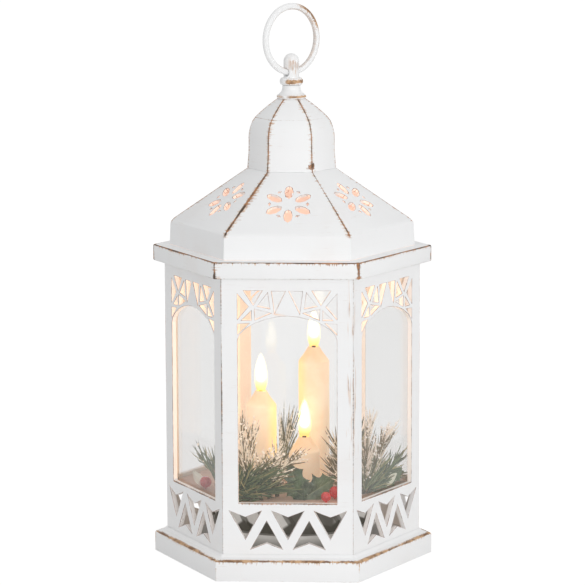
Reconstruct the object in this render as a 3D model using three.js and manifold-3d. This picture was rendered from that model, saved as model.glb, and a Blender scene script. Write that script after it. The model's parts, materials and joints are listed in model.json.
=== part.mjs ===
// Lantern with three LED candles: a six-sided cabin of pierced, glazed panels between a plinth and a cornice,
// under a pierced roof, a dome and a turned finial that carries a ring handle.
// Millimetres, +Z up. The origin is the centre of the plinth's underside, and one flat side looks along -Y.
import * as THREE from "three";
import { mergeVertices } from "three/addons/utils/BufferGeometryUtils.js";
import Module from "manifold-3d";

const wasm = await Module();
wasm.setup();

const SIDES = 6;
const SIDE_TURN = (2 * Math.PI) / SIDES;
const FLAT_PER_CORNER = Math.cos(SIDE_TURN / 2);
const HALF_SIDE_PER_FLAT = Math.tan(SIDE_TURN / 2);
const cornerOf = (flat) => flat / FLAT_PER_CORNER;
const flatOf = (corner) => corner * FLAT_PER_CORNER;

// Clearances
const GAP = 0.3;
const MITRE_GAP = 0.06;
const SHANK_GAP = 0.3;

// Cabin. Six-sided sizes are radii to the corners, and the others are stated from this one.
const BODY_CORNER = 87;
const PANEL_HEIGHT = 189.1;
const PANEL_THICKNESS = 3.2;

// Plinth and base plate
const PLINTH_OVERHANG = 8.5;
const PLINTH_HEIGHT = 14;
const PLINTH_CHAMFER = 1;
const PLINTH_BORE_SETBACK = 15;
const COVE_RISE = 3;
const COVE_REACH = 4.2;
const COVE_LIP = 0.5;
const REBATE_SETBACK = 7.2;
const REBATE_DEPTH = 3.6;
const BASE_PLATE_THICKNESS = 2.4;
const SCREW_SETBACK = 11.8;
const SCREW_COUNT = 3;
const SCREW_SHANK_RADIUS = 1.3;
const SCREW_HEAD_RADIUS = 2.4;
const SCREW_HEAD_DEPTH = 1.6;
const SCREW_LENGTH = 10;
const SCREW_EDGE = 0.3;

// Window and fretwork of a side panel
const JAMB_WIDTH = 10.8;
const WINDOW_SILL = 37.7;
const HEAD_RAIL = 8.5;
const ARCH_SPRING_DROP = 32.9;
const ARCH_RISE = 16.1;
const ARCH_POWER = 1.75;
const ARCH_STEPS = 12;
const TOOTH_MARGIN = 4.65;
const TOOTH_FILL = 0.375;
const TOOTH_NOTCH = 4.2;
const TOOTH_RAIL = 5.3;
const TOOTH_FOOT = 6.4;
const TOOTH_STAGGER = 6.8;

// Window panes, deck and its ledge
const PANE_THICKNESS = 1.5;
const PANE_TOP_GAP = 0.3;
const DECK_DROP = 2;
const DECK_THICKNESS = 2;
const LEDGE_DEPTH = 6;
const LEDGE_THICKNESS = 1.3;

// Cornice, roof and dome
const CORNICE_OVERHANG = 7.7;
const CORNICE_HEIGHT = 11.1;
const CORNICE_CHAMFER = 0.6;
const CORNICE_LIP_DEPTH = 6.1;
const CORNICE_LIP_THICKNESS = 2;
const ROOF_RIM_HEIGHT = 3;
const ROOF_WALL = 2.4;
const SKIRT_SETBACK = 3.6;
const SKIRT_LEAN = 0.7;
const SKIRT_HEIGHT = 16.5;
const SHOULDER_ROUND = 2.5;
const SHOULDER_SOFTENING = 0.5;
const SLOPE_RISE = 35.9;
const NECK_CORNER = 30.2;
const DOME_RISE = 47.2;
const DOME_WALL = 2.4;
const DOME_TOP_CORNER = 9.6;
const DOME_CEILING = 5.3;
const DOME_CEILING_CORNER = 12.5;
const SPIGOT_DEPTH = 5;
const SPIGOT_THICKNESS = 2;
const DOME_STEPS = 14;

// Roof rosette, whose centre is a share of the way up the slope
const ROSETTE_SHARE = 0.4933;
const PETAL_COUNT = 6;
const PETAL_CENTRE_RADIUS = 10.9;
const PETAL_LENGTH = 11.4;
const PETAL_WIDTH = 5.8;
const PETAL_STEPS = 8;
const BUD_CENTRE_RADIUS = 12.6;
const BUD_LENGTH = 1.7;
const BUD_WIDTH = 2.8;
const BUD_STEPS = 4;

// Finial, eye and ring
const COLLAR_RADIUS = 9.9;
const COLLAR_HEIGHT = 2.5;
const COLLAR_ROUND = 0.7;
const NECK_RADIUS = 6.1;
const NECK_TOP = 9.1;
const BEAD_RADIUS = 7.85;
const BEAD_HEIGHT = 5;
const EYE_RADIUS = 5.25;
const EYE_HEIGHT = 16.2;
const EYE_HOLE_RADIUS = 3.05;
const EYE_HOLE_HEIGHT = 3.6;
const EYE_SHANK_RADIUS = 2;
const SHANK_BELOW_CEILING = 6;
const WASHER_RADIUS = 6.5;
const WASHER_THICKNESS = 1.2;
const NUT_CORNER = 4.1;
const NUT_THICKNESS = 3.2;
const RING_RADIUS = 22.1;
const RING_WIRE_RADIUS = 2.15;
const RING_TURN = THREE.MathUtils.degToRad(42.2);

// Candles
const CANDLE_RADIUS = 10.6;
const CANDLE_WALL = 1.4;
const CANDLE_ROUND = 0.8;
const CONE_RISE = 9.7;
const CONE_TOP_RADIUS = 3.9;
const CONE_WALL = 1.9;
const FLAME_STEM_RADIUS = 2.9;
const FLAME_STEM_DEPTH = 3;
const FLAME_RADIUS = 4.4;
const FLAME_HEIGHT = 26.2;
const LED_RADIUS = 1.5;
const LED_HEIGHT = 5;
const LED_DEPTH = 1.2;
const LEAD_RADIUS = 0.9;
const LEAD_ROOM = 0.5;
const BOSS_HEIGHT = 4;

// Battery housing, board and switch, in the base
const HOUSING_SIDE_ROOM = 4.4;
const HOUSING_HEADROOM = 0.6;
const HOUSING_WALL = 2;
const HOUSING_CHAMFER = 2;
const HOUSING_FLANGE_REACH = 4;
const HOUSING_FLANGE_HEIGHT = 19;
const HOUSING_FLANGE_THICKNESS = 2.4;
const HOUSING_RIBS = 20;
const HOUSING_RIB_WIDTH = 1.6;
const HOUSING_RIB_DEPTH = 1;
const HOUSING_RIB_LEAN = THREE.MathUtils.degToRad(-32);
const CELL_RADIUS = 7.25;
const CELL_LENGTH = 49.5;
const CELL_NUB_RADIUS = 2.75;
const CELL_NUB_LENGTH = 1;
const CELL_COUNT = 2;
const BAY_WALL = 1.6;
const CONTACT_SPACE = 3.4;
const CONTACT_THICKNESS = 0.6;
const CONTACT_SIZE = 9;
const CONTACT_WALL_GAP = 0.1;
const STUD_FOOT_RADIUS = 2.6;
const STUD_TIP_RADIUS = 1.8;
const SPRING_FOOT_RADIUS = 3;
const SPRING_TIP_RADIUS = 1.8;
const POST_RADIUS = 2;
const POST_INSET = 3;
const BOARD_WIDTH = 60;
const BOARD_DEPTH = 44;
const BOARD_THICKNESS = 1.6;
const BOARD_RISE = 3;
const CHIP_WIDTH = 9;
const CHIP_DEPTH = 6;
const CHIP_HEIGHT = 1.5;
const CHIP_PLACE = [-3, 14];
const CAPACITOR_RADIUS = 3;
const CAPACITOR_HEIGHT = 7;
const CAPACITOR_PLACE = [24, -14];
const DOOR_GAP = 0.4;
const DOOR_THICKNESS = 2;
const DOOR_GRIP_RADIUS = 6;
const DOOR_GRIP_DEPTH = 0.5;
const DOOR_GRIP_INSET = 12;
const SWITCH_PLACE = -33;
const SWITCH_WIDTH = 10;
const SWITCH_DEPTH = 5;
const SWITCH_HEIGHT = 5;
const KNOB_WIDTH = 3;
const KNOB_DEPTH = 2.4;
const KNOB_TRAVEL = 3;
const KNOB_OUT = 0.4;
const KNOB_IN = 2.2;
const SWITCH_CAVITY = 2.5;

// Evergreen decoration
const STEM_RADIUS = 1;
const STALK_RADIUS = 1.3;
const NEEDLE_RADIUS = 0.5;
const NEEDLE_ROOM = 0.3;
const LEAF_THICKNESS = 0.9;
const LEAF_TIP = 0.4;
const LEAF_ROOM = 1.6;
const BERRY_RADIUS = 4;
const SMALL_BERRY_RADIUS = 3.4;
const BERRY_RISE = 0.6;
const BERRY_STALK_RADIUS = 0.7;
const BERRY_LINK = 1.2;

// How far pieces that are joined into one run into each other
const BITE = 0.5;

// Corner radii that follow from the cabin's
const PLINTH_CORNER = BODY_CORNER + PLINTH_OVERHANG;
const PLINTH_BORE_CORNER = BODY_CORNER - PLINTH_BORE_SETBACK;
const REBATE_CORNER = BODY_CORNER - REBATE_SETBACK;
const SCREW_CIRCLE = BODY_CORNER - SCREW_SETBACK;
const CORNICE_CORNER = BODY_CORNER + CORNICE_OVERHANG;
const SKIRT_FOOT_CORNER = BODY_CORNER - SKIRT_SETBACK;
const SKIRT_TOP_CORNER = SKIRT_FOOT_CORNER - SKIRT_LEAN;
const HOUSING_FLANGE_RADIUS = flatOf(PLINTH_BORE_CORNER) - HOUSING_SIDE_ROOM;
const HOUSING_RADIUS = HOUSING_FLANGE_RADIUS - HOUSING_FLANGE_REACH;

// Widths of the window and of the row of teeth, from the half side of the cabin
const HALF_SIDE = BODY_CORNER / 2;
const WINDOW_HALF_WIDTH = HALF_SIDE - JAMB_WIDTH;
const TOOTH_PITCH = (HALF_SIDE - TOOTH_MARGIN) / (1 + TOOTH_FILL);
const TOOTH_HALF_WIDTH = TOOTH_PITCH * TOOTH_FILL;
const TOOTH_TOP = WINDOW_SILL - TOOTH_RAIL;
const TOOTH_HEIGHT = TOOTH_TOP - TOOTH_STAGGER - TOOTH_FOOT;

// Heights that follow from the sizes above
const PANEL_TOP = PLINTH_HEIGHT + PANEL_HEIGHT;
const SILL_Z = PLINTH_HEIGHT + WINDOW_SILL;
const WINDOW_TOP = PANEL_TOP - HEAD_RAIL;
const DECK_TOP = SILL_Z - DECK_DROP;
const DECK_FOOT = DECK_TOP - DECK_THICKNESS;
const CORNICE_TOP = PANEL_TOP + CORNICE_HEIGHT;
const SKIRT_TOP = CORNICE_TOP + SKIRT_HEIGHT;
const NECK_Z = SKIRT_TOP + SLOPE_RISE;
const DOME_TOP = NECK_Z + DOME_RISE;
const CEILING_Z = DOME_TOP - DOME_CEILING;
const BEAD_Z = DOME_TOP + NECK_TOP;
const EYE_Z = BEAD_Z + BEAD_HEIGHT;
const HOLE_Z = EYE_Z + EYE_HOLE_HEIGHT;
const RING_Z = HOLE_Z + RING_RADIUS;
const PLATE_FOOT = REBATE_DEPTH - BASE_PLATE_THICKNESS;

// Flats, measured from the axis to the middle of a side
const BODY_FLAT = flatOf(BODY_CORNER);
const PANEL_INNER_FLAT = BODY_FLAT - PANEL_THICKNESS;
const PANE_OUTER_FLAT = PANEL_INNER_FLAT - GAP;
const PANE_INNER_FLAT = PANE_OUTER_FLAT - PANE_THICKNESS;
const DECK_FLAT = PANE_INNER_FLAT - GAP;

// Candles: places as shares of the deck's flat, and shoulder heights above the deck as shares of the cabin
const CABIN_HEIGHT = WINDOW_TOP - DECK_TOP;
const CANDLES = [
  { name: "tall", across: 0.204, back: 0.171, rise: 0.5687 },
  { name: "middle", across: -0.308, back: 0, rise: 0.3706 },
  { name: "short", across: 0.126, back: -0.214, rise: 0.1725 },
].map(({ name, across, back, rise }) => ({
  name,
  x: across * DECK_FLAT,
  y: back * DECK_FLAT,
  height: rise * CABIN_HEIGHT,
}));

const FINISHES = {
  antique_white: { color: 0xefeeec, roughness: 0.55, metalness: 0 },
  white_metal: { color: 0xeeedeb, roughness: 0.45, metalness: 0.1 },
  clear: { color: 0xeef2f2, roughness: 0.05, metalness: 0, transparent: true, opacity: 0.25 },
  peach: { color: 0xe8c4a8, roughness: 0.7, metalness: 0 },
  wax: { color: 0xf6d9ae, roughness: 0.45, metalness: 0 },
  flame: { color: 0xfff3c0, roughness: 0.2, metalness: 0 },
  led: { color: 0xfbf6d8, roughness: 0.1, metalness: 0 },
  grey_plastic: { color: 0x7e7c7a, roughness: 0.5, metalness: 0 },
  steel: { color: 0xb8b8b6, roughness: 0.35, metalness: 1 },
  cell: { color: 0x3a3d42, roughness: 0.4, metalness: 0.2 },
  board: { color: 0x2c5b3a, roughness: 0.5, metalness: 0 },
  wire: { color: 0x1d1d1f, roughness: 0.6, metalness: 0 },
  pine: { color: 0x4d5a40, roughness: 0.7, metalness: 0 },
  holly: { color: 0x3c4a34, roughness: 0.45, metalness: 0 },
  ivory: { color: 0xd9d6bf, roughness: 0.6, metalness: 0 },
  berry: { color: 0xb3272c, roughness: 0.3, metalness: 0 },
};

const lantern = new THREE.Group();

function addPart(name, geometry, finish, parent = lantern) {
  const mesh = new THREE.Mesh(geometry, new THREE.MeshStandardMaterial(FINISHES[finish]));
  mesh.name = name;
  parent.add(mesh);
  return mesh;
}

// A closed geometry as a solid that can be joined and cut
function solidOf(geometry) {
  const bare = geometry.clone();
  bare.deleteAttribute("normal");
  bare.deleteAttribute("uv");
  const merged = mergeVertices(bare, 1e-4);
  const mesh = new wasm.Mesh({
    numProp: 3,
    vertProperties: merged.attributes.position.array,
    triVerts: new Uint32Array(merged.index.array),
  });
  return new wasm.Manifold(mesh);
}

// A solid's faces as a geometry
function geometryOf(solid) {
  const mesh = solid.getMesh();
  const geometry = new THREE.BufferGeometry();
  geometry.setAttribute("position", new THREE.BufferAttribute(Float32Array.from(mesh.vertProperties), 3));
  geometry.setIndex(new THREE.BufferAttribute(Uint32Array.from(mesh.triVerts), 1));
  const faceted = geometry.toNonIndexed();
  faceted.computeVertexNormals();
  return faceted;
}

function joined(geometries) {
  const [first, ...rest] = geometries.map(solidOf);
  return geometryOf(rest.reduce((whole, piece) => whole.add(piece), first));
}

function cutFrom(geometry, tools) {
  return geometryOf(tools.map(solidOf).reduce((whole, tool) => whole.subtract(tool), solidOf(geometry)));
}

// A profile of [radius, height] points, anticlockwise, turned about Z
function turned(profile, segments, start = 0) {
  const points = profile.map(([radius, height]) => new THREE.Vector2(radius, height));
  const geometry = new THREE.LatheGeometry(points, segments, start);
  geometry.rotateX(Math.PI / 2);
  return geometry;
}

const closed = (profile) => [...profile, profile[0]];

// The same, with six sides and corners on the X axis
const sixSided = (profile) => turned(profile, SIDES, Math.PI / 2);

// An outline of [x, y] points pulled up along Z
function prism(outline, depth, foot = 0) {
  const shape = new THREE.Shape(outline.map(([x, y]) => new THREE.Vector2(x, y)));
  const geometry = new THREE.ExtrudeGeometry(shape, { depth, bevelEnabled: false });
  geometry.translate(0, 0, foot);
  return geometry;
}

function block(width, depth, height, x, y, foot) {
  const geometry = new THREE.BoxGeometry(width, depth, height);
  geometry.translate(x, y, foot + height / 2);
  return geometry;
}

function rod(radius, height, x, y, foot, segments = 12) {
  const geometry = new THREE.CylinderGeometry(radius, radius, height, segments);
  geometry.rotateX(Math.PI / 2);
  geometry.translate(x, y, foot + height / 2);
  return geometry;
}

const rectangle = (width, depth, x = 0, y = 0) => [
  [x - width / 2, y - depth / 2],
  [x + width / 2, y - depth / 2],
  [x + width / 2, y + depth / 2],
  [x - width / 2, y + depth / 2],
];

function sixSidedOutline(corner) {
  return Array.from({ length: SIDES }, (_, i) => [
    corner * Math.cos(i * SIDE_TURN),
    corner * Math.sin(i * SIDE_TURN),
  ]);
}

function circleOutline(radius, x, y, segments) {
  return Array.from({ length: segments }, (_, i) => {
    const angle = (i * 2 * Math.PI) / segments;
    return [x + radius * Math.cos(angle), y + radius * Math.sin(angle)];
  });
}

// A group for each side, whose own -Y looks out of the lantern
function eachSide(make) {
  for (let side = 0; side < SIDES; side += 1) {
    const group = new THREE.Group();
    group.rotation.z = side * SIDE_TURN;
    lantern.add(group);
    make(group, side + 1);
  }
}

// Base

function screwPlaces() {
  return Array.from({ length: SCREW_COUNT }, (_, i) => {
    const angle = (i * 2 * Math.PI) / SCREW_COUNT;
    return [SCREW_CIRCLE * Math.cos(angle), SCREW_CIRCLE * Math.sin(angle)];
  });
}

function plinth() {
  const lipInner = cornerOf(BODY_FLAT + GAP);
  const ring = sixSided(
    closed([
      [REBATE_CORNER, 0],
      [PLINTH_CORNER, 0],
      [PLINTH_CORNER, PLINTH_HEIGHT - PLINTH_CHAMFER],
      [PLINTH_CORNER - PLINTH_CHAMFER, PLINTH_HEIGHT],
      [lipInner + COVE_LIP + COVE_REACH, PLINTH_HEIGHT + COVE_RISE * 0.14],
      [lipInner + COVE_LIP + COVE_REACH * 0.35, PLINTH_HEIGHT + COVE_RISE * 0.4],
      [lipInner + COVE_LIP, PLINTH_HEIGHT + COVE_RISE],
      [lipInner, PLINTH_HEIGHT + COVE_RISE],
      [lipInner, PLINTH_HEIGHT],
      [PLINTH_BORE_CORNER, PLINTH_HEIGHT],
      [PLINTH_BORE_CORNER, REBATE_DEPTH],
      [REBATE_CORNER, REBATE_DEPTH],
    ]),
  );
  const pilots = screwPlaces().map(([x, y]) =>
    rod(SCREW_SHANK_RADIUS + SHANK_GAP, SCREW_LENGTH, x, y, REBATE_DEPTH - BITE),
  );
  addPart("plinth", cutFrom(ring, pilots), "antique_white");
}

const bayWidth = CELL_LENGTH + CELL_NUB_LENGTH + 2 * (CONTACT_SPACE + CONTACT_THICKNESS);
const cellPitch = 2 * CELL_RADIUS + 2 * GAP;
const bayDepth = CELL_COUNT * cellPitch;
const doorWidth = bayWidth - 2 * DOOR_GAP;
const doorDepth = bayDepth - 2 * DOOR_GAP;

function basePlate() {
  const corner = cornerOf(flatOf(REBATE_CORNER) - GAP);
  const slot = rectangle(
    KNOB_WIDTH + KNOB_TRAVEL + 2 * GAP,
    KNOB_DEPTH + 2 * GAP,
    KNOB_TRAVEL / 2,
    SWITCH_PLACE,
  );
  const plate = prism(sixSidedOutline(corner), BASE_PLATE_THICKNESS, PLATE_FOOT);
  const openings = [rectangle(bayWidth, bayDepth), slot].map((outline) =>
    prism(outline, 3 * BASE_PLATE_THICKNESS, PLATE_FOOT - BASE_PLATE_THICKNESS),
  );
  const sinks = screwPlaces().map(([x, y]) => {
    const sink = screwShape(SHANK_GAP);
    sink.translate(x, y, 0);
    return sink;
  });
  addPart("base_plate", cutFrom(plate, [...openings, ...sinks]), "antique_white");
}

// A countersunk screw, or the hole for it when it is grown by a clearance
function screwShape(grow) {
  const foot = grow ? PLATE_FOOT - BITE : PLATE_FOOT;
  return turned(
    [
      [0, foot],
      [SCREW_HEAD_RADIUS + grow, foot],
      [SCREW_HEAD_RADIUS + grow, PLATE_FOOT + SCREW_EDGE],
      [SCREW_SHANK_RADIUS + grow, PLATE_FOOT + SCREW_HEAD_DEPTH],
      [SCREW_SHANK_RADIUS + grow, PLATE_FOOT + SCREW_LENGTH],
      [0, PLATE_FOOT + SCREW_LENGTH],
    ],
    12,
  );
}

function baseScrews() {
  screwPlaces().forEach(([x, y], i) => {
    const screw = addPart("base_screw_" + (i + 1), screwShape(0), "steel");
    screw.position.set(x, y, 0);
  });
}

// Electrics in the base

const bayFoot = REBATE_DEPTH;
const cellZ = bayFoot + 2 * GAP + CELL_RADIUS;
const bayCeiling = cellZ + CELL_RADIUS + GAP;
const bayTop = bayCeiling + BAY_WALL;
const boardFoot = bayTop + BOARD_RISE;
const boardTop = boardFoot + BOARD_THICKNESS;
const housingTop = DECK_FOOT - HOUSING_HEADROOM;

function batteryBay() {
  const height = bayTop - bayFoot;
  const shell = block(bayWidth + 2 * BAY_WALL, bayDepth + 2 * BAY_WALL, height, 0, 0, bayFoot);
  const room = block(bayWidth, bayDepth, height, 0, 0, bayFoot - BAY_WALL);
  const postX = bayWidth / 2 - POST_INSET;
  const postY = bayDepth / 2 - POST_INSET;
  const posts = [-1, 1].flatMap((sx) =>
    [-1, 1].map((sy) => rod(POST_RADIUS, BOARD_RISE + BITE, sx * postX, sy * postY, bayTop - BITE, 10)),
  );
  addPart("battery_bay", joined([cutFrom(shell, [room]), ...posts]), "grey_plastic");
}

const cellPlaces = Array.from({ length: CELL_COUNT }, (_, i) => ({
  y: (i - (CELL_COUNT - 1) / 2) * cellPitch,
  end: i % 2 ? -1 : 1,
}));

function cells() {
  const profile = [
    [0, -CELL_LENGTH / 2],
    [CELL_RADIUS, -CELL_LENGTH / 2],
    [CELL_RADIUS, CELL_LENGTH / 2],
    [CELL_NUB_RADIUS, CELL_LENGTH / 2],
    [CELL_NUB_RADIUS, CELL_LENGTH / 2 + CELL_NUB_LENGTH],
    [0, CELL_LENGTH / 2 + CELL_NUB_LENGTH],
  ];
  cellPlaces.forEach(({ y, end }, i) => {
    const cell = addPart("cell_" + (i + 1), turned(profile, 16), "cell");
    cell.rotation.y = (end * Math.PI) / 2;
    cell.position.set((-end * CELL_NUB_LENGTH) / 2, y, cellZ);
  });
}

// A contact is a strip on the bay's end wall with a spring for a cell's flat end or a stud for its nub
function contact(name, end, places) {
  const reach = bayWidth / 2 - CONTACT_WALL_GAP - CONTACT_THICKNESS / 2;
  const spread = Math.max(...places.map((p) => Math.abs(p.y - places[0].y)));
  const middle = places.reduce((sum, p) => sum + p.y, 0) / places.length;
  const stripFoot = cellZ - CONTACT_SIZE / 2;
  const strip = block(CONTACT_THICKNESS, spread + CONTACT_SIZE, CONTACT_SIZE, end * reach, middle, stripFoot);
  const tips = places.map((p) => {
    const meetsNub = p.end === end;
    const cellEnd = CELL_LENGTH / 2 + CELL_NUB_LENGTH / 2;
    const length = reach - cellEnd - GAP;
    const [tipRadius, footRadius] = meetsNub
      ? [STUD_TIP_RADIUS, STUD_FOOT_RADIUS]
      : [SPRING_TIP_RADIUS, SPRING_FOOT_RADIUS];
    const tip = new THREE.CylinderGeometry(tipRadius, footRadius, length, 10);
    tip.rotateZ((end * Math.PI) / 2);
    tip.translate(end * (reach - length / 2), p.y, cellZ);
    return tip;
  });
  addPart(name, joined([strip, ...tips]), "steel");
}

function contacts() {
  contact("contact_bridge", -1, cellPlaces);
  contact("contact_positive", 1, [cellPlaces[0]]);
  contact("contact_negative", 1, [cellPlaces[1]]);
}

function circuitBoard() {
  const rests = block(BOARD_WIDTH, BOARD_DEPTH, BOARD_THICKNESS, 0, 0, boardFoot);
  const chip = block(CHIP_WIDTH, CHIP_DEPTH, CHIP_HEIGHT + BITE, ...CHIP_PLACE, boardTop - BITE);
  const capacitor = rod(CAPACITOR_RADIUS, CAPACITOR_HEIGHT + BITE, ...CAPACITOR_PLACE, boardTop - BITE);
  addPart("circuit_board", joined([rests, chip, capacitor]), "board");
}

// The grey housing that shows behind the lower fretwork: a drum with a flange and leaning ribs
function batteryHousing() {
  const innerRadius = HOUSING_RADIUS - HOUSING_WALL;
  const flangeFoot = bayFoot + HOUSING_FLANGE_HEIGHT;
  const flangeTop = flangeFoot + HOUSING_FLANGE_THICKNESS;
  const drum = turned(
    closed([
      [innerRadius, bayFoot],
      [HOUSING_RADIUS, bayFoot],
      [HOUSING_RADIUS, flangeFoot],
      [HOUSING_FLANGE_RADIUS, flangeFoot],
      [HOUSING_FLANGE_RADIUS, flangeTop],
      [HOUSING_RADIUS, flangeTop],
      [HOUSING_RADIUS, housingTop - HOUSING_CHAMFER],
      [HOUSING_RADIUS - HOUSING_CHAMFER, housingTop],
      [0, housingTop],
      [0, housingTop - HOUSING_WALL],
      [innerRadius, housingTop - HOUSING_WALL],
    ]),
    40,
  );
  const ribHeight = (housingTop - flangeTop - 2 * HOUSING_CHAMFER) / Math.cos(HOUSING_RIB_LEAN);
  const ribs = Array.from({ length: HOUSING_RIBS }, (_, i) => {
    const rib = new THREE.BoxGeometry(HOUSING_RIB_WIDTH, 2 * HOUSING_RIB_DEPTH, ribHeight);
    rib.rotateY(HOUSING_RIB_LEAN);
    rib.translate(0, -HOUSING_RADIUS, (housingTop + flangeTop) / 2);
    rib.rotateZ((i * 2 * Math.PI) / HOUSING_RIBS);
    return rib;
  });
  const leadHoles = CANDLES.map(({ x, y }) =>
    rod(LEAD_RADIUS + LEAD_ROOM, 3 * HOUSING_WALL, x, y, housingTop - 2 * HOUSING_WALL, 10),
  );
  addPart("battery_housing", cutFrom(joined([drum, ...ribs]), leadHoles), "grey_plastic");
}

function batteryDoor() {
  const panel = block(doorWidth, doorDepth, DOOR_THICKNESS, 0, 0, PLATE_FOOT);
  const gripX = doorWidth / 2 - DOOR_GRIP_INSET;
  const grip = rod(DOOR_GRIP_RADIUS, 2 * DOOR_GRIP_DEPTH, gripX, 0, PLATE_FOOT - DOOR_GRIP_DEPTH, 16);
  addPart("battery_door", cutFrom(panel, [grip]), "antique_white");
}

function switchParts() {
  const bodyFoot = REBATE_DEPTH;
  const cavityWidth = KNOB_WIDTH + KNOB_TRAVEL + 2 * GAP;
  const shell = block(SWITCH_WIDTH, SWITCH_DEPTH, SWITCH_HEIGHT, KNOB_TRAVEL / 2, SWITCH_PLACE, bodyFoot);
  const cavityDepth = KNOB_DEPTH + 2 * GAP;
  const cavityHeight = SWITCH_CAVITY + BITE;
  const cavity = block(cavityWidth, cavityDepth, cavityHeight, KNOB_TRAVEL / 2, SWITCH_PLACE, bodyFoot - BITE);
  addPart("slide_switch", cutFrom(shell, [cavity]), "grey_plastic");
  const knobFoot = PLATE_FOOT - KNOB_OUT;
  const knob = block(KNOB_WIDTH, KNOB_DEPTH, bodyFoot + KNOB_IN - knobFoot, 0, SWITCH_PLACE, knobFoot);
  addPart("switch_knob", knob, "wire");
  const route = new THREE.CatmullRomCurve3(
    [
      [0, SWITCH_PLACE, bodyFoot + SWITCH_HEIGHT + GAP],
      [0, SWITCH_PLACE, bodyFoot + 1.8 * SWITCH_HEIGHT],
      [0, SWITCH_PLACE + SWITCH_DEPTH, boardFoot - 1.2 * SWITCH_HEIGHT],
      [0, -BOARD_DEPTH / 2, boardFoot - SWITCH_HEIGHT],
      [0, -BOARD_DEPTH / 2 + 2 * LEAD_RADIUS, boardFoot - GAP],
    ].map(([x, y, z]) => new THREE.Vector3(x, y, z)),
  );
  addPart("switch_lead", cable(route, LEAD_RADIUS, 12), "wire");
}

// A round cable along a curve
function cable(route, radius, steps, sides = 8) {
  const outline = circleOutline(radius, 0, 0, sides).map(([x, y]) => new THREE.Vector2(x, y));
  const section = new THREE.Shape(outline);
  return new THREE.ExtrudeGeometry(section, { steps, extrudePath: route, bevelEnabled: false });
}

// Side panels

// The window's outline: straight jambs and a flattened arch
function windowOutline() {
  const spring = WINDOW_TOP - ARCH_SPRING_DROP;
  const arch = Array.from({ length: ARCH_STEPS + 1 }, (_, i) => {
    const angle = (Math.PI * i) / ARCH_STEPS;
    const across = Math.sign(Math.cos(angle)) * Math.abs(Math.cos(angle)) ** (2 / ARCH_POWER);
    const up = Math.abs(Math.sin(angle)) ** (2 / ARCH_POWER);
    return [WINDOW_HALF_WIDTH * across, spring + ARCH_RISE * up];
  });
  return [[-WINDOW_HALF_WIDTH, SILL_Z], [WINDOW_HALF_WIDTH, SILL_Z], ...arch];
}

// Gaps of the pierced head between the arch and the window's top, right half.
// Each corner is a share of the window's half width and of the depth from its top to the arch's spring.
const HEAD_GAPS = [
  [[0.875, 0], [0.502, 0], [0.679, 0.292]],
  [[1, 0.067], [0.78, 0.322], [1, 0.578]],
  [[1, 0.675], [0.768, 0.66], [1, 0.888]],
  [[0.719, 0.404], [0.716, 0.599], [0.917, 0.599]],
  [[0.391, 0.043], [0.346, 0.365], [0.602, 0.316]],
  [[0.657, 0.371], [0.324, 0.453], [0.648, 0.59]],
  [[0.312, 0.012], [0.034, 0.009], [0.254, 0.462]],
];

function headGaps() {
  const place = (mirror) => ([across, down]) => [
    mirror * across * WINDOW_HALF_WIDTH,
    WINDOW_TOP - down * ARCH_SPRING_DROP,
  ];
  return [-1, 1].flatMap((mirror) => HEAD_GAPS.map((gap) => gap.map(place(mirror))));
}

// A row of arrowhead gaps below the sill, three pointing down and two pointing up
function toothGaps() {
  const top = PLINTH_HEIGHT + TOOTH_TOP;
  const down = [-1, 0, 1].map((i) => [
    [i * TOOTH_PITCH - TOOTH_HALF_WIDTH, top],
    [i * TOOTH_PITCH, top - TOOTH_HEIGHT],
    [i * TOOTH_PITCH + TOOTH_HALF_WIDTH, top],
    [i * TOOTH_PITCH, top - TOOTH_NOTCH],
  ]);
  const up = [-0.5, 0.5].map((i) => [
    [i * TOOTH_PITCH - TOOTH_HALF_WIDTH, top - TOOTH_STAGGER - TOOTH_HEIGHT],
    [i * TOOTH_PITCH, top - TOOTH_STAGGER - TOOTH_HEIGHT + TOOTH_NOTCH],
    [i * TOOTH_PITCH + TOOTH_HALF_WIDTH, top - TOOTH_STAGGER - TOOTH_HEIGHT],
    [i * TOOTH_PITCH, top - TOOTH_STAGGER],
  ]);
  return [...down, ...up];
}

function panelGeometry() {
  const halfOuter = BODY_FLAT * HALF_SIDE_PER_FLAT - MITRE_GAP;
  const halfInner = PANEL_INNER_FLAT * HALF_SIDE_PER_FLAT - MITRE_GAP;
  const outline = [
    [-halfOuter, PLINTH_HEIGHT],
    [halfOuter, PLINTH_HEIGHT],
    [halfOuter, PANEL_TOP],
    [-halfOuter, PANEL_TOP],
  ];
  const plate = prism(outline, PANEL_THICKNESS);
  const points = plate.attributes.position;
  for (let i = 0; i < points.count; i += 1) {
    const isMitreEdge = Math.abs(points.getX(i)) > halfOuter - 1e-3 && points.getZ(i) < 1e-3;
    if (isMitreEdge) {
      points.setX(i, Math.sign(points.getX(i)) * halfInner);
    }
  }
  const gaps = [windowOutline(), ...headGaps(), ...toothGaps()].map((gap) =>
    prism(gap, 3 * PANEL_THICKNESS, -PANEL_THICKNESS),
  );
  const pierced = cutFrom(plate, gaps);
  pierced.rotateX(Math.PI / 2);
  pierced.translate(0, -PANEL_INNER_FLAT, 0);
  const ledgeFlat = PANEL_INNER_FLAT - LEDGE_DEPTH;
  const ledgeWidth = 2 * (ledgeFlat * HALF_SIDE_PER_FLAT - GAP);
  const ledge = block(
    ledgeWidth,
    LEDGE_DEPTH + BITE,
    LEDGE_THICKNESS,
    0,
    -(PANEL_INNER_FLAT + ledgeFlat + BITE) / 2,
    DECK_FOOT - LEDGE_THICKNESS,
  );
  return joined([pierced, ledge]);
}

function sidePanels() {
  const geometry = panelGeometry();
  eachSide((group, number) => addPart("side_panel_" + number, geometry, "antique_white", group));
}

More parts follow.
